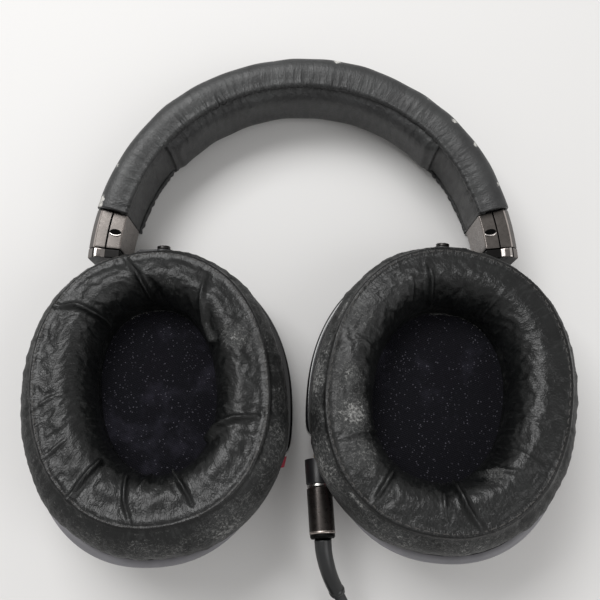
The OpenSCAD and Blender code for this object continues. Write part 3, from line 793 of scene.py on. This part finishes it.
def build_pad(side):
    name = NAMES[side]
    body = name + "_cup"
    facts = PADS[side]
    rng = np.random.default_rng(20 + side)
    open_u, open_v, open_a, open_b = facts["open"]
    section = closed_path(PAD_SECTION, PAD_COLS)
    t = np.linspace(0, 2 * math.pi, 721)
    ring = oval(PAD_A - 12, PAD_B - 12, t)
    t = evenly(ring, t[:, None], PAD_ROWS)[:, 0]
    grid = np.zeros((PAD_ROWS, PAD_COLS, 3))
    for j in range(PAD_COLS):
        grid[:, j, :2] = oval(PAD_A + section[j, 0], PAD_B + section[j, 0], t)
        grid[:, j, 2] = section[j, 1]
        grid[:, j, 1] += 1.9 * ease(-grid[:, j, 1], 20, 50) * ease(section[j, 0], -12, -2)
        f = float(ease(-section[j, 0], 10, 22))
        grid[:, j, 0] *= 1 + (open_a - 1) * f
        grid[:, j, 1] *= 1 + (open_b - 1) * f
        grid[:, j, :2] = turned_uv(grid[:, j, :2]) + (open_u * f + PAD_SHIFT * (1 - f), open_v * f)
    cu, cv, sa, sb = facts["seam"]

    def seam_distance(g):
        away = turned_uv(g[..., :2] - (cu, cv), -PAD_TURN)
        du, dv = away[..., 0], away[..., 1]
        f = (np.abs(du / sa) ** OVAL_N + np.abs(dv / sb) ** OVAL_N) ** (1 / OVAL_N)
        return np.hypot(du, dv) * (1 - 1 / np.maximum(f, 1e-6))

    rest = grid.copy()
    high = ease(grid[..., 2], 36, 40)
    off = seam_distance(grid)
    pins = np.maximum(np.clip((27 - grid[..., 2]) / 4, 0, 1), high * np.clip(1.1 - np.abs(off) / 1.6, 0, 0.9))
    pins = np.maximum(pins, 0.6 * ease(off, 1, 3))
    for line_, depth, width in facts["tucks"]:
        d = near_line(grid[..., :2], line_)[0]
        pins = np.maximum(pins, np.where(d < 1.2, min(0.8, depth / 3), 0) * ease(grid[..., 2], 30, 36))
    grid = settle(grid, pins, 0.009, 1.3, 0.5)
    grid = finer(grid, 2)
    rest = finer(rest, 2)
    n = grid_normals(grid)
    turn = circle(len(grid))[:, None]
    step = np.linspace(0, 1, grid.shape[1], endpoint=False)[None, :]
    sd = seam_distance(rest)
    w = rest[..., 2]
    top = ease(w, 29, 35)
    face = ease(w, 38, 42)
    move = -1.5 * hill(sd, 0, 0.95) * ease(w, 33, 37)
    move += 0.8 * hill(sd, -5, 3.5) * face
    move += -0.5 * ease(sd, 0, 2.5) * ease(w, 30, 36)
    patchy = 0.55 + 0.45 * ripples(turn, step, 2, 9, 5, rng)
    fine = ripples(turn, step * 6, 60, 150, 14, rng)
    broad = ripples(turn, step * 3, 12, 34, 8, rng)
    inner = ease(sd, -2, -9)
    move += top * (0.04 * fine * np.clip(patchy, 0, 1.2) * (0.2 + inner) + 0.06 * broad * (0.2 + 0.8 * inner))
    wall = ease(sd, 0.5, 3) * ease(w, 22, 26)
    move += wall * (0.12 * ripples(turn, step * 4, 20, 70, 9, rng) + 0.18 * ripples(turn, step * 2, 5, 16, 5, rng))
    for line_, depth, width in facts["tucks"]:
        d, along = near_line(rest[..., :2], line_)
        amp = 0.95 * depth * (0.4 + 0.6 * ease(along, 0, 0.5)) * top
        move += -amp * hill(d, 0, 0.75 * width) + 0.16 * amp * hill(d, 2.2 * width, 1.4 * width)
    grid = grid + n * move[..., None]
    grid[..., 2] = np.maximum(grid[..., 2], PAD_FLOOR)
    pad = add_grid("ear_pad_skin_" + name, cup_frame(side, grid), PAD_LEATHER, body, True, True, True)
    size = distances(ring)[-1] / (2 * math.pi)
    flow = np.stack(np.broadcast_arrays(size * np.cos(turn), size * np.sin(turn), step * 112), -1) * MM
    mark(pad, "flow", flow)
    wear = 0.02 + 0.2 * ease(sd, 0, 4)
    for u, v, hw, r, amount in facts["worn"]:
        d2 = (rest[..., 0] - u) ** 2 + (rest[..., 1] - v) ** 2 + (w - hw) ** 2
        wear = np.maximum(wear, amount * np.exp(-d2 / (r * r)))
    wear = np.maximum(wear, 0.5 * hill(w, 21.5, 1.6) * ease(sd, 0, 3))
    near_side = 0.45 + 0.5 * ease(rest[..., 0], 5, 30) * (side == RIGHT)
    wear = np.maximum(wear, near_side * hill(sd, 1.5, 1.0) * ease(w, 33, 37) * (0.7 + 0.3 * np.clip(broad, -1, 1)))
    wear = np.maximum(wear, 0.55 * hill(w, 27, 5) * ease(sd, -14, -17) * 0.6)
    mark(pad, "wear", wear)
    # The seam attribute marks where shade is painted into the seam's groove.
    mark(pad, "seam", hill(sd, 0, 0.9) * ease(w, 33, 37))
    mark(pad, "wall", ease(sd, 0.6, 2.2) * ease(w, 44, 40))
    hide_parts("ear_pad_" + name)

    a = np.linspace(0, 2 * math.pi, 1441)
    sewn = turned_uv(oval(sa, sb, a)) + (cu, cv)
    count = int(distances(sewn)[-1] / PAD_STITCH_PITCH)
    places = turned_uv(oval(sa, sb, evenly(sewn, a[:, None], count)[:, 0])) + (cu, cv)
    keep = (w > 31) & (np.abs(sd) < 2.5)
    skin = grid[keep]
    normals = n[keep]
    marks, ways, lifts = [], [], []
    for i, p in enumerate(places):
        d = np.hypot(skin[:, 0] - p[0], skin[:, 1] - p[1])
        near = np.argsort(d)[:4]
        if d[near[0]] > 1.2:
            continue
        lift = normals[near].mean(0)
        way = np.append(places[(i + 1) % count] - places[i - 1], 0.0)
        way -= lift * (way @ lift)
        marks.append(np.append(p, skin[near, 2].mean()) + lift * 0.12)
        ways.append(unit(way))
        lifts.append(unit(lift))
    marks, ways, lifts = np.array(marks), np.array(ways), np.array(lifts)
    origin = cup_frame(side, marks) / MM
    ways = cup_frame(side, marks + ways) / MM - origin
    lifts = cup_frame(side, marks + lifts) / MM - origin
    seam = stitches("pad_stitches_" + name, origin, ways, lifts, PAD_THREAD, body)

    hole_a, hole_b = 23.3 * open_a, 32.0 * open_b
    rings, around = 26, 120
    t = circle(around)
    cloth = np.zeros((rings, around, 3))
    for i, r in enumerate(np.linspace(0.001, 1, rings)):
        cloth[i, :, :2] = turned_uv(oval(hole_a * r, hole_b * r, t)) + (open_u, open_v)
        cloth[i, :, 2] = SEWN_LEVEL - 0.7 * (1 - r * r) + 0.12 * r * np.cos(3 * t + side) + 0.08 * r * np.cos(7 * t + 1)
    knit_ = add_grid("pad_knit_" + name, cup_frame(side, cloth), KNIT, body)
    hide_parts("pad_cloth_" + name)
    edge = oval(hole_a, hole_b, t)
    2 * hole_a * MM
    2 * hole_b * MM
    t = circle(420)
    rag = np.zeros((420, 3, 3))
    rough = np.clip(0.5 + 0.5 * ripples(t, 0.0, 3, 11, 4, rng), 0, 1) * rng.uniform(0.15, 1.0, 420)
    for j, lift in enumerate((-0.5, 0.4, 1.0)):
        inset = 0.3 + 0.5 * j / 2 + 0.15 * rng.uniform(-1, 1, 420) * j
        lip = turned_uv(oval(hole_a - 0.7, hole_b - 0.7, t)) * (1 - inset / 26)[:, None]
        rag[:, j, :2] = lip + (open_u, open_v)
        rag[:, j, 2] = SEWN_LEVEL + (0 if j == 0 else 0.3 + 1.5 * lift * rough)
    add_grid("pad_fray_" + name, cup_frame(side, rag), FRAY, body, True, False)


PAD_LEATHER = pad_leather("pad_leather")
PAD_THREAD = thread("pad_thread", "4c4a48")
KNIT = knit("pad_knit", "06060b", "181622", "6a6872", 0.4)
FRAY = knit("pad_fray", "2c2c2e", "9b9a95")
for cup_side in (LEFT, RIGHT):
    build_pad(cup_side)


# ---------------------------------------------------------------- headband
BAND_SEAM = -12.2
BAND_END = 74.9
BAND_COLS = 116
STITCH_PITCH = 2.35
STITCH_RADIUS = 74.0
STITCH_LEVEL = 29.75
BAND_WORN = (
    (-73.3, 3.4, 0.95), (-63.8, 1.6, 0.75), (-53.8, 1.5, 0.6), (-27.8, 1.5, 0.65), (-18, 1.2, 0.5), (-7.9, 2.6, 0.75),
    (-2, 1.5, 0.5), (9.6, 2.0, 0.8), (23, 1.8, 0.6), (37.7, 2.0, 0.7), (43, 1.0, 0.5), (47.8, 2.2, 0.85),
    (57.2, 2.2, 0.8), (69.3, 1.8, 0.75), (73.5, 1.4, 0.6),
)


# Outline across the arch as (distance outside its outer face, height).
BAND_OUTLINE = (
    (-12.9, 2.2), (-13.1, 1.1), (-12.2, 0.4), (-9, 0.1), (-4.8, 0.1), (-2.2, 0.8), (-0.6, 2.7), (0, 5.6), (0.2, 10),
    (0.3, 15), (0.2, 20), (0, 24.4), (-0.6, 27.3), (-2.2, 29.3), (-4.8, 30.25), (-8.5, 30.45), (-11.4, 30.1),
    (-12.6, 29.8), (-13.2, 29.0), (-12.9, 28.1), (-10.5, 28.0), (-4.5, 28.0), (-2.2, 26), (-1.9, 15), (-2.2, 4),
    (-4.5, 2.1), (-10.5, 2.1),
)


def build_headband():
    rng = np.random.default_rng(5)
    angles = np.linspace(-BAND_END, BAND_END, 420)
    outline = closed_path(BAND_OUTLINE, BAND_COLS)
    out = np.broadcast_to(outline[None, :, 0], (len(angles), BAND_COLS))
    z = np.broadcast_to(outline[None, :, 1], (len(angles), BAND_COLS))
    a = angles[:, None]
    grid = band_frame(a, out, z)
    n = -grid_normals(grid, False)
    turn = np.radians(a)
    face = ease(z, 26, 29) + ease(z, 4, 1)
    gather = hill(out, BAND_SEAM, 3.2) * face
    move = -0.7 * hill(out, BAND_SEAM, 0.5) * face
    move += 0.35 * gather * ripples(turn, out * 0.12, 90, 190, 12, rng) * (0.6 + 0.4 * ripples(turn, 0, 3, 13, 4, rng))
    move += 0.12 * ripples(turn, out * 0.1, 12, 40, 8, rng) + 0.15 * ripples(turn, z * 0.05, 3, 9, 4, rng)
    move += 0.25 * hill(out - BAND_SEAM, 3.2, 2.0) * face
    inside = (out < -1.6) & (z > 2) & (z < 28.05) & (out > -12.8)
    move = np.where(inside, 0, move)
    grid = grid + n * move[..., None] * MM
    grid[..., 2] = np.clip(grid[..., 2], 0.0001, None)
    cover = add_grid("headband_leather", grid, BAND_LEATHER, "band", flip=True, caps=True)
    flow = np.stack([np.broadcast_to(turn * 86, out.shape), out, z], -1) * MM
    mark(cover, "flow", flow)
    mark(cover, "gather", gather + 0.2)
    wear = np.full(out.shape, 0.08)
    corner_ = hill(out, -1.6, 1.9) * ease(z, 24, 27.5)
    wear = wear + 0.3 * corner_ * (0.6 + 0.4 * ripples(turn, 0, 20, 60, 8, rng))
    for centre, half, strength in BAND_WORN:
        wear = np.maximum(wear, strength * hill(a, centre, half) * corner_ ** 0.6)
    wear = np.maximum(wear, 0.4 * hill(out, -1, 1.5) * ease(z, 6, 2))
    mark(cover, "wear", wear)
    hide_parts("headband_cover")

    zeta = np.linspace(-1, 1, 46)
    back = np.linspace(1, -1, 12)
    inner_out, inner_z = [], []
    for angle in angles:
        crown = 4.0 * (1 - ease(abs(angle), 47.5, 52.5))
        profile = (1 - np.abs(zeta) ** 5) ** 0.6
        inner_out.append(np.concatenate([-(11.2 + (1.5 + crown) * profile), np.full(12, -9.75)]))
        inner_z.append(np.concatenate([15 + 12.85 * zeta, 15 + 12.8 * back]))
    out = np.array(inner_out)
    z = np.array(inner_z)
    grid = band_frame(a, out, z)
    n = grid_normals(grid, False)
    front = ease(-out, 11.5, 12.5)
    fold = hill(np.abs(a), 50.4, 0.55)
    fold2 = hill(np.abs(a), 47.2, 0.5)
    top_edge = ease(z, 20, 27)
    gather = np.maximum(top_edge, 0.05 * ease(z, 9, 3)) * front
    move = -0.9 * fold * front - 0.35 * fold2 * front * top_edge
    move += 0.16 * top_edge * front * ripples(turn, z * 0.1, 70, 150, 12, rng)
    move += front * (0.12 * ripples(turn, z * 0.08, 8, 30, 8, rng) + 0.2 * ripples(turn, z * 0.05, 3, 8, 4, rng))
    move += -0.45 * hill(z, 3.6, 0.5) * front
    grid = grid + n * move[..., None] * MM
    inner = add_grid("headband_padding", grid, BAND_INNER, "band", flip=False, caps=True)
    mark(inner, "flow", np.stack([np.broadcast_to(turn * 74, out.shape), z, out], -1) * MM)
    mark(inner, "gather", 0.25 + gather)
    mark(inner, "wear", 0.08 + 0.3 * top_edge * front * np.clip(ripples(turn, 0, 5, 30, 6, rng), 0, 1))
    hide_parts("headband_cushion", "headband_lining")

    places, ways = [], []
    for at in np.arange(-BAND_END + 1.2, BAND_END - 1.0, math.degrees(STITCH_PITCH / STITCH_RADIUS)):
        p = band_frame(at, BAND_SEAM, STITCH_LEVEL) / MM
        way = band_frame(at + 0.2, BAND_SEAM, STITCH_LEVEL) / MM - p
        places.append(p)
        ways.append(unit(way))
    lifts = [np.array([0, 0, 1.0])] * len(places)
    piece = stitches("headband_stitches", places, ways, lifts, BAND_THREAD, "band", 1.7, 0.24)


BAND_LEATHER = band_leather("band_leather", "1d1d1e", "2c2d2d", 0.6)
BAND_INNER = band_leather("band_inner", "202021", "303131", 0.45)
BAND_THREAD = thread("band_thread", "5e5e5e")
build_headband()

# ---------------------------------------------------------------- hard part materials
CASE_METAL = banded("case_metal", "56524f", "b9b0ab", "161514", 0.3, 0.85)
KNUCKLE_METAL = banded("knuckle_metal", "6c6764", "d8d2ce", "0d0d0d", 0.2, 0.9)
SLEEVE_METAL = banded("sleeve_metal", "3d3937", "a39a94", "070707", 0.3, 0.85)
STEEL = metal("steel", "6e6d6c", 0.3)
DARK_STEEL = metal("dark_steel", "3a3938", 0.35)
GLOSS = plastic("gloss_black", "0d0d0f", 0.16, 1500, 0.00001, 0.4)
SATIN = plastic("satin_black", "1a1a1c", 0.42, 1400, 0.00005)
GREY = plastic("grey_lip", "77767a", 0.45, 1300, 0.00004)
RED = plastic("red_trim", "a8223a", 0.3, 1200, 0.00003, 0.3)
# A near-black, barely reflecting material for painted shade.
SLOT_SHADE = plastic("painted_slot_shade", "030303", 0.9, specular=0.05)
PINK = plastic("ring_trim", "8f4a55", 0.35, 1200, 0.00003, 0.2)
COLLAR = metal("collar", "c9c7c4", 0.28)
CONE = plastic("cone", "b9b5a8", 0.4, 900, 0.00005)
MAGNET = metal("magnet", "77787a", 0.35)


def dress(names, material, bevel):
    """Gives CAD nodes a material and softened edges."""
    for name in names:
        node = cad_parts[name]
        node.data.materials.clear()
        node.data.materials.append(material)
        if bevel:
            edge = node.modifiers.new("edges", "BEVEL")
            edge.width = bevel * MM
            edge.segments = 2
            edge.limit_method = "ANGLE"
            edge.angle_limit = math.radians(40)


def both(*stems):
    return [stem + "_" + side for stem in stems for side in ("left", "right")]


def rounded(outline, r):
    """The closed outline with three points at each corner, and which corner each came from."""
    p = np.asarray(outline, float)
    out, source = [], []
    for i in range(len(p)):
        a = p[i - 1] - p[i]
        b = p[(i + 1) % len(p)] - p[i]
        ra = min(r, 0.4 * np.linalg.norm(a))
        rb = min(r, 0.4 * np.linalg.norm(b))
        qa = p[i] + unit(a) * ra
        qb = p[i] + unit(b) * rb
        out += [qa, 0.25 * qa + 0.5 * p[i] + 0.25 * qb, qb]
        source += [i, i, i]
    return np.array(out), source


def weighted(obj):
    obj.modifiers.new("even_shading", "WEIGHTED_NORMAL").keep_sharp = False


# Outlines across the arch as (distance outside its outer face, height, and the painted light of the facet that starts
# there: painted shade below 0, a painted highlight above 0).
CASE_OUTLINE = (
    (0, 6, -0.5), (0, 23.4, -0.15), (-2.3, 26.3, 0.9), (-3.0, 26.9, 0.1), (-6.95, 26.85, -1.0), (-7.05, 26.2, -1.0),
    (-7.25, 26.2, -1.0), (-7.35, 26.8, 0.12), (-12.3, 26.7, 0.5), (-12.65, 26.2, 0.45), (-12.65, 3.6, -0.4),
    (-11.6, 3, -0.4), (-2.4, 3, -0.7),
)
KNUCKLE_OUTLINE = (
    (0, 6, -0.3), (0, 23.6, -0.05), (-2.3, 26.3, -1.0), (-2.6, 26.3, -1.0), (-2.9, 26.9, 0.75), (-3.9, 27.0, 0.05),
    (-5.6, 26.8, 0.3), (-7.0, 26.2, -0.9), (-12.4, 26.2, -1.0), (-12.4, 3.4, -1.0), (-7.2, 3, -0.5), (-2.4, 3, -0.4),
)


def arc_piece(name, side, facets, start, end, count, material, body, lip):
    """A part that follows the side arc, with a softened end of size lip, painted light and shade on each facet, and
    painted shade on its far end face.
    """
    outline, source = rounded([(f[0], f[1]) for f in facets], 0.22)
    painted_lights = np.array([facets[i][2] for i in source])
    before = np.array([facets[source[k] - 1][2] for k in range(len(source))])
    first = np.arange(len(source)) % 3 == 0
    painted_lights = np.where(first, before, painted_lights)
    angles = np.concatenate([[start, start], np.linspace(start + 0.12, end - 0.12, count), [end, end]])
    middle = outline.mean(0)
    size = np.ptp(outline, axis=0)
    rows = []
    for i, a in enumerate(angles):
        inset = lip if i in (0, len(angles) - 1) else (0.35 * lip if i in (1, len(angles) - 2) else 0)
        p = middle + (outline - middle) * (1 - 2 * inset / size)
        rows.append(band_frame(np.full(len(p), side * a), p[:, 0], p[:, 1]))
    piece = add_grid(name, np.array(rows), material, body, flip=side == RIGHT, caps=True)
    shade = np.broadcast_to(painted_lights, (len(angles), len(painted_lights))).copy()
    # The far end face is painted in full shade.
    shade[-1] = -1.0
    mark(piece, "painted_light", shade)
    weighted(piece)
    return piece


def build_slider(side):
    name = NAMES[side]
    case = arc_piece("case_shell_" + name, side, CASE_OUTLINE, 75.1, 84.6, 24, CASE_METAL, "band", 0.3)
    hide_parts("slider_case_" + name, "slider_case_inner_" + name)
    block = arc_piece("knuckle_block_" + name, side, KNUCKLE_OUTLINE, 84.8, 87.1, 10, KNUCKLE_METAL, name + "_slider",
                      0.5)
    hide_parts("knuckle_" + name, "knuckle_cover_" + name)
    # A near-black disc over each slot: painted shade for the slot's shadowed inside.
    t = circle(40)
    dark = []
    for r, lift in ((0.01, 0.03), (0.6, 0.03), (0.9, 0.05), (1.0, 0.03)):
        dark.append(band_frame(side * (80.3 + 0.9 * r * np.sin(t)), -9.85 + 2.3 * r * np.cos(t), 26.92 + lift))
    add_grid("case_slot_" + name, np.array(dark), SLOT_SHADE, "band", flip=side == LEFT)
    # A thin tube along each slot's rim, set fully light: a painted highlight.
    arc = np.linspace(math.pi * 0.02, math.pi * 0.98, 40)
    lip = band_frame(side * (80.35 + 0.75 * np.sin(arc)), -9.85 + 2.2 * np.cos(arc), 26.85) / MM
    tube = tube_grid(lip, 0.36 * np.sin(arc) ** 0.5 + 0.02, 10)
    shine = add_grid("case_slot_lip_" + name, tube * MM, KNUCKLE_METAL, "band", caps=True)
    mark(shine, "painted_light", np.ones(40 * 10))


for cup_side in (LEFT, RIGHT):
    build_slider(cup_side)

# ---------------------------------------------------------------- yokes
YOKE_B = 57.6
YOKE_V = 57.0
YOKE_Z = 11.5
YOKE_SLOPE = math.atan((PIVOT_Z - YOKE_Z) / 67.0)


def end_turn(b, v):
    return math.asin((-v / b) ** (OVAL_N / 2))


def build_yoke(side):
    name = NAMES[side]
    tail = -17.5 if side == LEFT else -14.0
    t = np.concatenate([np.linspace(-end_turn(YOKE_B, tail), math.pi / 2, 90)[:-1],
                        np.linspace(math.pi / 2, math.pi + end_turn(YOKE_B, -16), 90)])
    k = circle(36)
    q = 0.5 + 0.5 * np.sign(np.cos(k)) * np.abs(np.cos(k)) ** 0.45
    h = 4 * np.sign(np.sin(k)) * np.abs(np.sin(k)) ** 0.3
    rows = []
    for i, turn in enumerate(t):
        left = min(i, len(t) - 1 - i)
        shrink = (0.3, 0.72, 0.9, 0.98)[left] if left < 4 else 1.0
        outer = oval(50.2 if turn < math.pi / 2 else 49.4, YOKE_B, np.array([turn]))[0]
        inner = oval(46.3, 55.5, np.array([turn]))[0]
        across = 0.5 + (q - 0.5) * shrink
        uv = inner + (outer - inner) * across[:, None]
        high = h * (0.75 + 0.25 * shrink)
        v = YOKE_V + (uv[:, 1] - YOKE_V) * math.cos(YOKE_SLOPE) + high * math.sin(YOKE_SLOPE)
        z = YOKE_Z - (uv[:, 1] - YOKE_V) * math.sin(YOKE_SLOPE) + high * math.cos(YOKE_SLOPE)
        rows.append(np.stack([uv[:, 0], v, z], -1))
    grid = yoke_frame(side, np.array(rows))
    arms = add_grid("yoke_arms_" + name, grid, GLOSS, name + "_yoke", flip=side == LEFT, caps=True)
    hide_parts("yoke_" + name)


# ---------------------------------------------------------------- ear cup shells
RIM_A = 44.0
RIM_B = PAD_B - 1.3
SHELL = (
    (-24, 2.2), (-17, 3.4), (-10, 5), (-6.6, 8), (-4.8, 11), (-3.6, 14), (-2.6, 16.2), (-0.8, 16.2), (-1.4, 13),
    (-3.4, 9), (-8, 4.6), (-14, 1.8), (-22, 0.3), (-26, 0.05),
)
RIM_LINE = ((-2.2, 16.35), (0.8, 16.35), (1.1, 16.6), (1.1, 17.15), (0.8, 17.4), (-2.2, 17.4))
RIM_LIP = ((-2.2, 17.45), (1.1, 17.45), (1.5, 17.75), (1.6, 18.5), (1.2, 19.0), (0.2, 19.2), (-2.2, 19.2))


def turned(name, side, profile, origin, body):
    """A satin part turned about a line across a cup."""
    grid = cup_frame(side, lathe_grid(profile, origin, (1, 0, 0)))
    weighted(add_grid(name, grid, SATIN, body, flip=side == LEFT, caps=True))


def rim_rings(profile):
    """Ovals round a cup, each given by its distance outside the rim and its level."""
    t = circle(180)
    return np.array([np.concatenate([oval(RIM_A + off, RIM_B + off, t), np.full((180, 1), w)], 1)
                     for off, w in profile])


def build_shell(side):
    name = NAMES[side]
    body = name + "_cup"
    profile = smooth_path(SHELL, 4)
    centre = [(-26 - k, 0.0) for k in (4, 12, 17.9)]
    inner = [(-24 - k, 2.2) for k in (19.9, 12, 4)]
    grid = rim_rings(inner + [tuple(p) for p in profile] + centre)
    grid = cup_frame(side, grid)
    shell = add_grid("cup_shell_" + name, grid, GLOSS, body, flip=side == RIGHT, caps=True)
    weighted(shell)
    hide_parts("housing_" + name)
    pieces = (("rim_line_", PINK, "red_trim", RIM_LINE), ("rim_lip_", GREY, "grey_plastic", RIM_LIP))
    for stem, material, slot, section in pieces:
        grid = cup_frame(side, rim_rings(section))
        lip = add_grid(stem + name, grid, material, body, True, True, side == LEFT)
        if stem == "rim_line_":
            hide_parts("housing_ring_" + name)
    boss = ((0.01, 0), (3.2, 0), (3.6, 0.4), (3.6, 6.8), (0.01, 6.8))
    for tag, u in (("outer", -44.8), ("inner", 38.0)):
        turned("pivot_boss_" + tag + "_" + name, side, boss, (u, PIVOT_V, PIVOT_W), body)


for cup_side in (LEFT, RIGHT):
    build_yoke(cup_side)
    build_shell(cup_side)

# ---------------------------------------------------------------- jack, plug and strain relief
JACK = (43.2, -32.2)
JACK_YAW = math.radians(-7.5)
JACK_SIDES = 64


def jack_frame(p):
    """Points of the jack's own frame, whose Y runs into the socket, to the row frame."""
    p = np.asarray(p, float)
    c, s = math.cos(JACK_YAW), math.sin(JACK_YAW)
    u = JACK[0] + p[..., 0] * c - p[..., 1] * s
    v = JACK[1] + p[..., 0] * s + p[..., 1] * c
    return cup_frame(RIGHT, np.stack([u, v, PIVOT_W + p[..., 2]], -1))


def jack_part(name, profile, start, ahead, material):
    grid = jack_frame(lathe_grid(profile, (0, start, 0), (0, ahead, 0), JACK_SIDES))
    piece = add_grid(name, grid, material, "right_cup", caps=True)
    weighted(piece)
    return piece


# Rings of the sleeve as (radius, distance along its axis, painted light): painted highlights on the chamfer and the
# collar ring, painted shade on the end beyond the collar.
SLEEVE = (
    (0.01, 0, 0), (3.9, 0, 0), (4.45, 0.2, 0.4), (4.65, 0.6, 0), (4.65, 15.4, 0), (4.6, 15.55, 1), (4.68, 15.8, 1),
    (4.68, 16.3, 1), (4.5, 16.45, -1), (4.42, 16.6, -1), (4.5, 16.8, -1), (4.5, 17.4, -1), (4.1, 17.95, -1),
    (3.0, 18, -1), (0.01, 18, -1),
)
sleeve = jack_part("sleeve_shell", [(r, h) for r, h, painted_light in SLEEVE], -0.3, -1, SLEEVE_METAL)
mark(sleeve, "painted_light", np.repeat([painted_light for r, h, painted_light in SLEEVE], JACK_SIDES))
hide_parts("plug_sleeve")
jack_part("jack_boss", ((0.01, 0.8), (4.4, 0.8), (4.7, 1.2), (4.7, 9.8), (0.01, 9.8)), 0, 1, SATIN)

RELIEF_ROUTE = ((8.45, -88.65, 23.5), (8.8, -93, 23.4), (9.9, -98, 22), (11.6, -103, 19.5), (14, -108, 16.3))
relief_path = smooth_path(RELIEF_ROUTE, 30)
step = np.linspace(0, 1, len(relief_path))
collar = ease(step, 0.9, 0.915) * ease(step, 0.965, 0.95)
radii = 3.1 - 0.42 * step + 0.22 * collar - 0.12 * ease(step, 0.03, 0.0)
relief = add_grid("relief_ribs", tube_grid(relief_path, radii, 32) * MM, RELIEF, "right_cup", caps=True)
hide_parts("strain_relief")

# ---------------------------------------------------------------- CAD parts that show or lie inside
LOOKS = (
    (both("yoke_pivot_pins", "swivel_pin"), DARK_STEEL, 0.2),
    (both("slider_arm"), STEEL, 0.25),
    (both("baffle_screws") + ["band_spring", "band_rivets", "detent_springs"], STEEL, 0.0),
    (both("hanger"), SATIN, 0.6),
    (both("swivel_washer", "diaphragm"), CONE, 0.0),
    (both("pad_mount_ring", "driver_grille") + ["band_core"], SATIN, 0.0),
    (both("baffle"), GREY, 0.3),
    (both("driver_basket"), GREY, 0.0),
    (both("driver_magnet"), MAGNET, 0.0),
    (["channel_mark"], RED, 0.4),
    (["jack_socket"], COLLAR, 0.2),
    (["plug_pin"], BRASS, 0.0),
)
for names, material, bevel in LOOKS:
    dress(names, material, bevel)
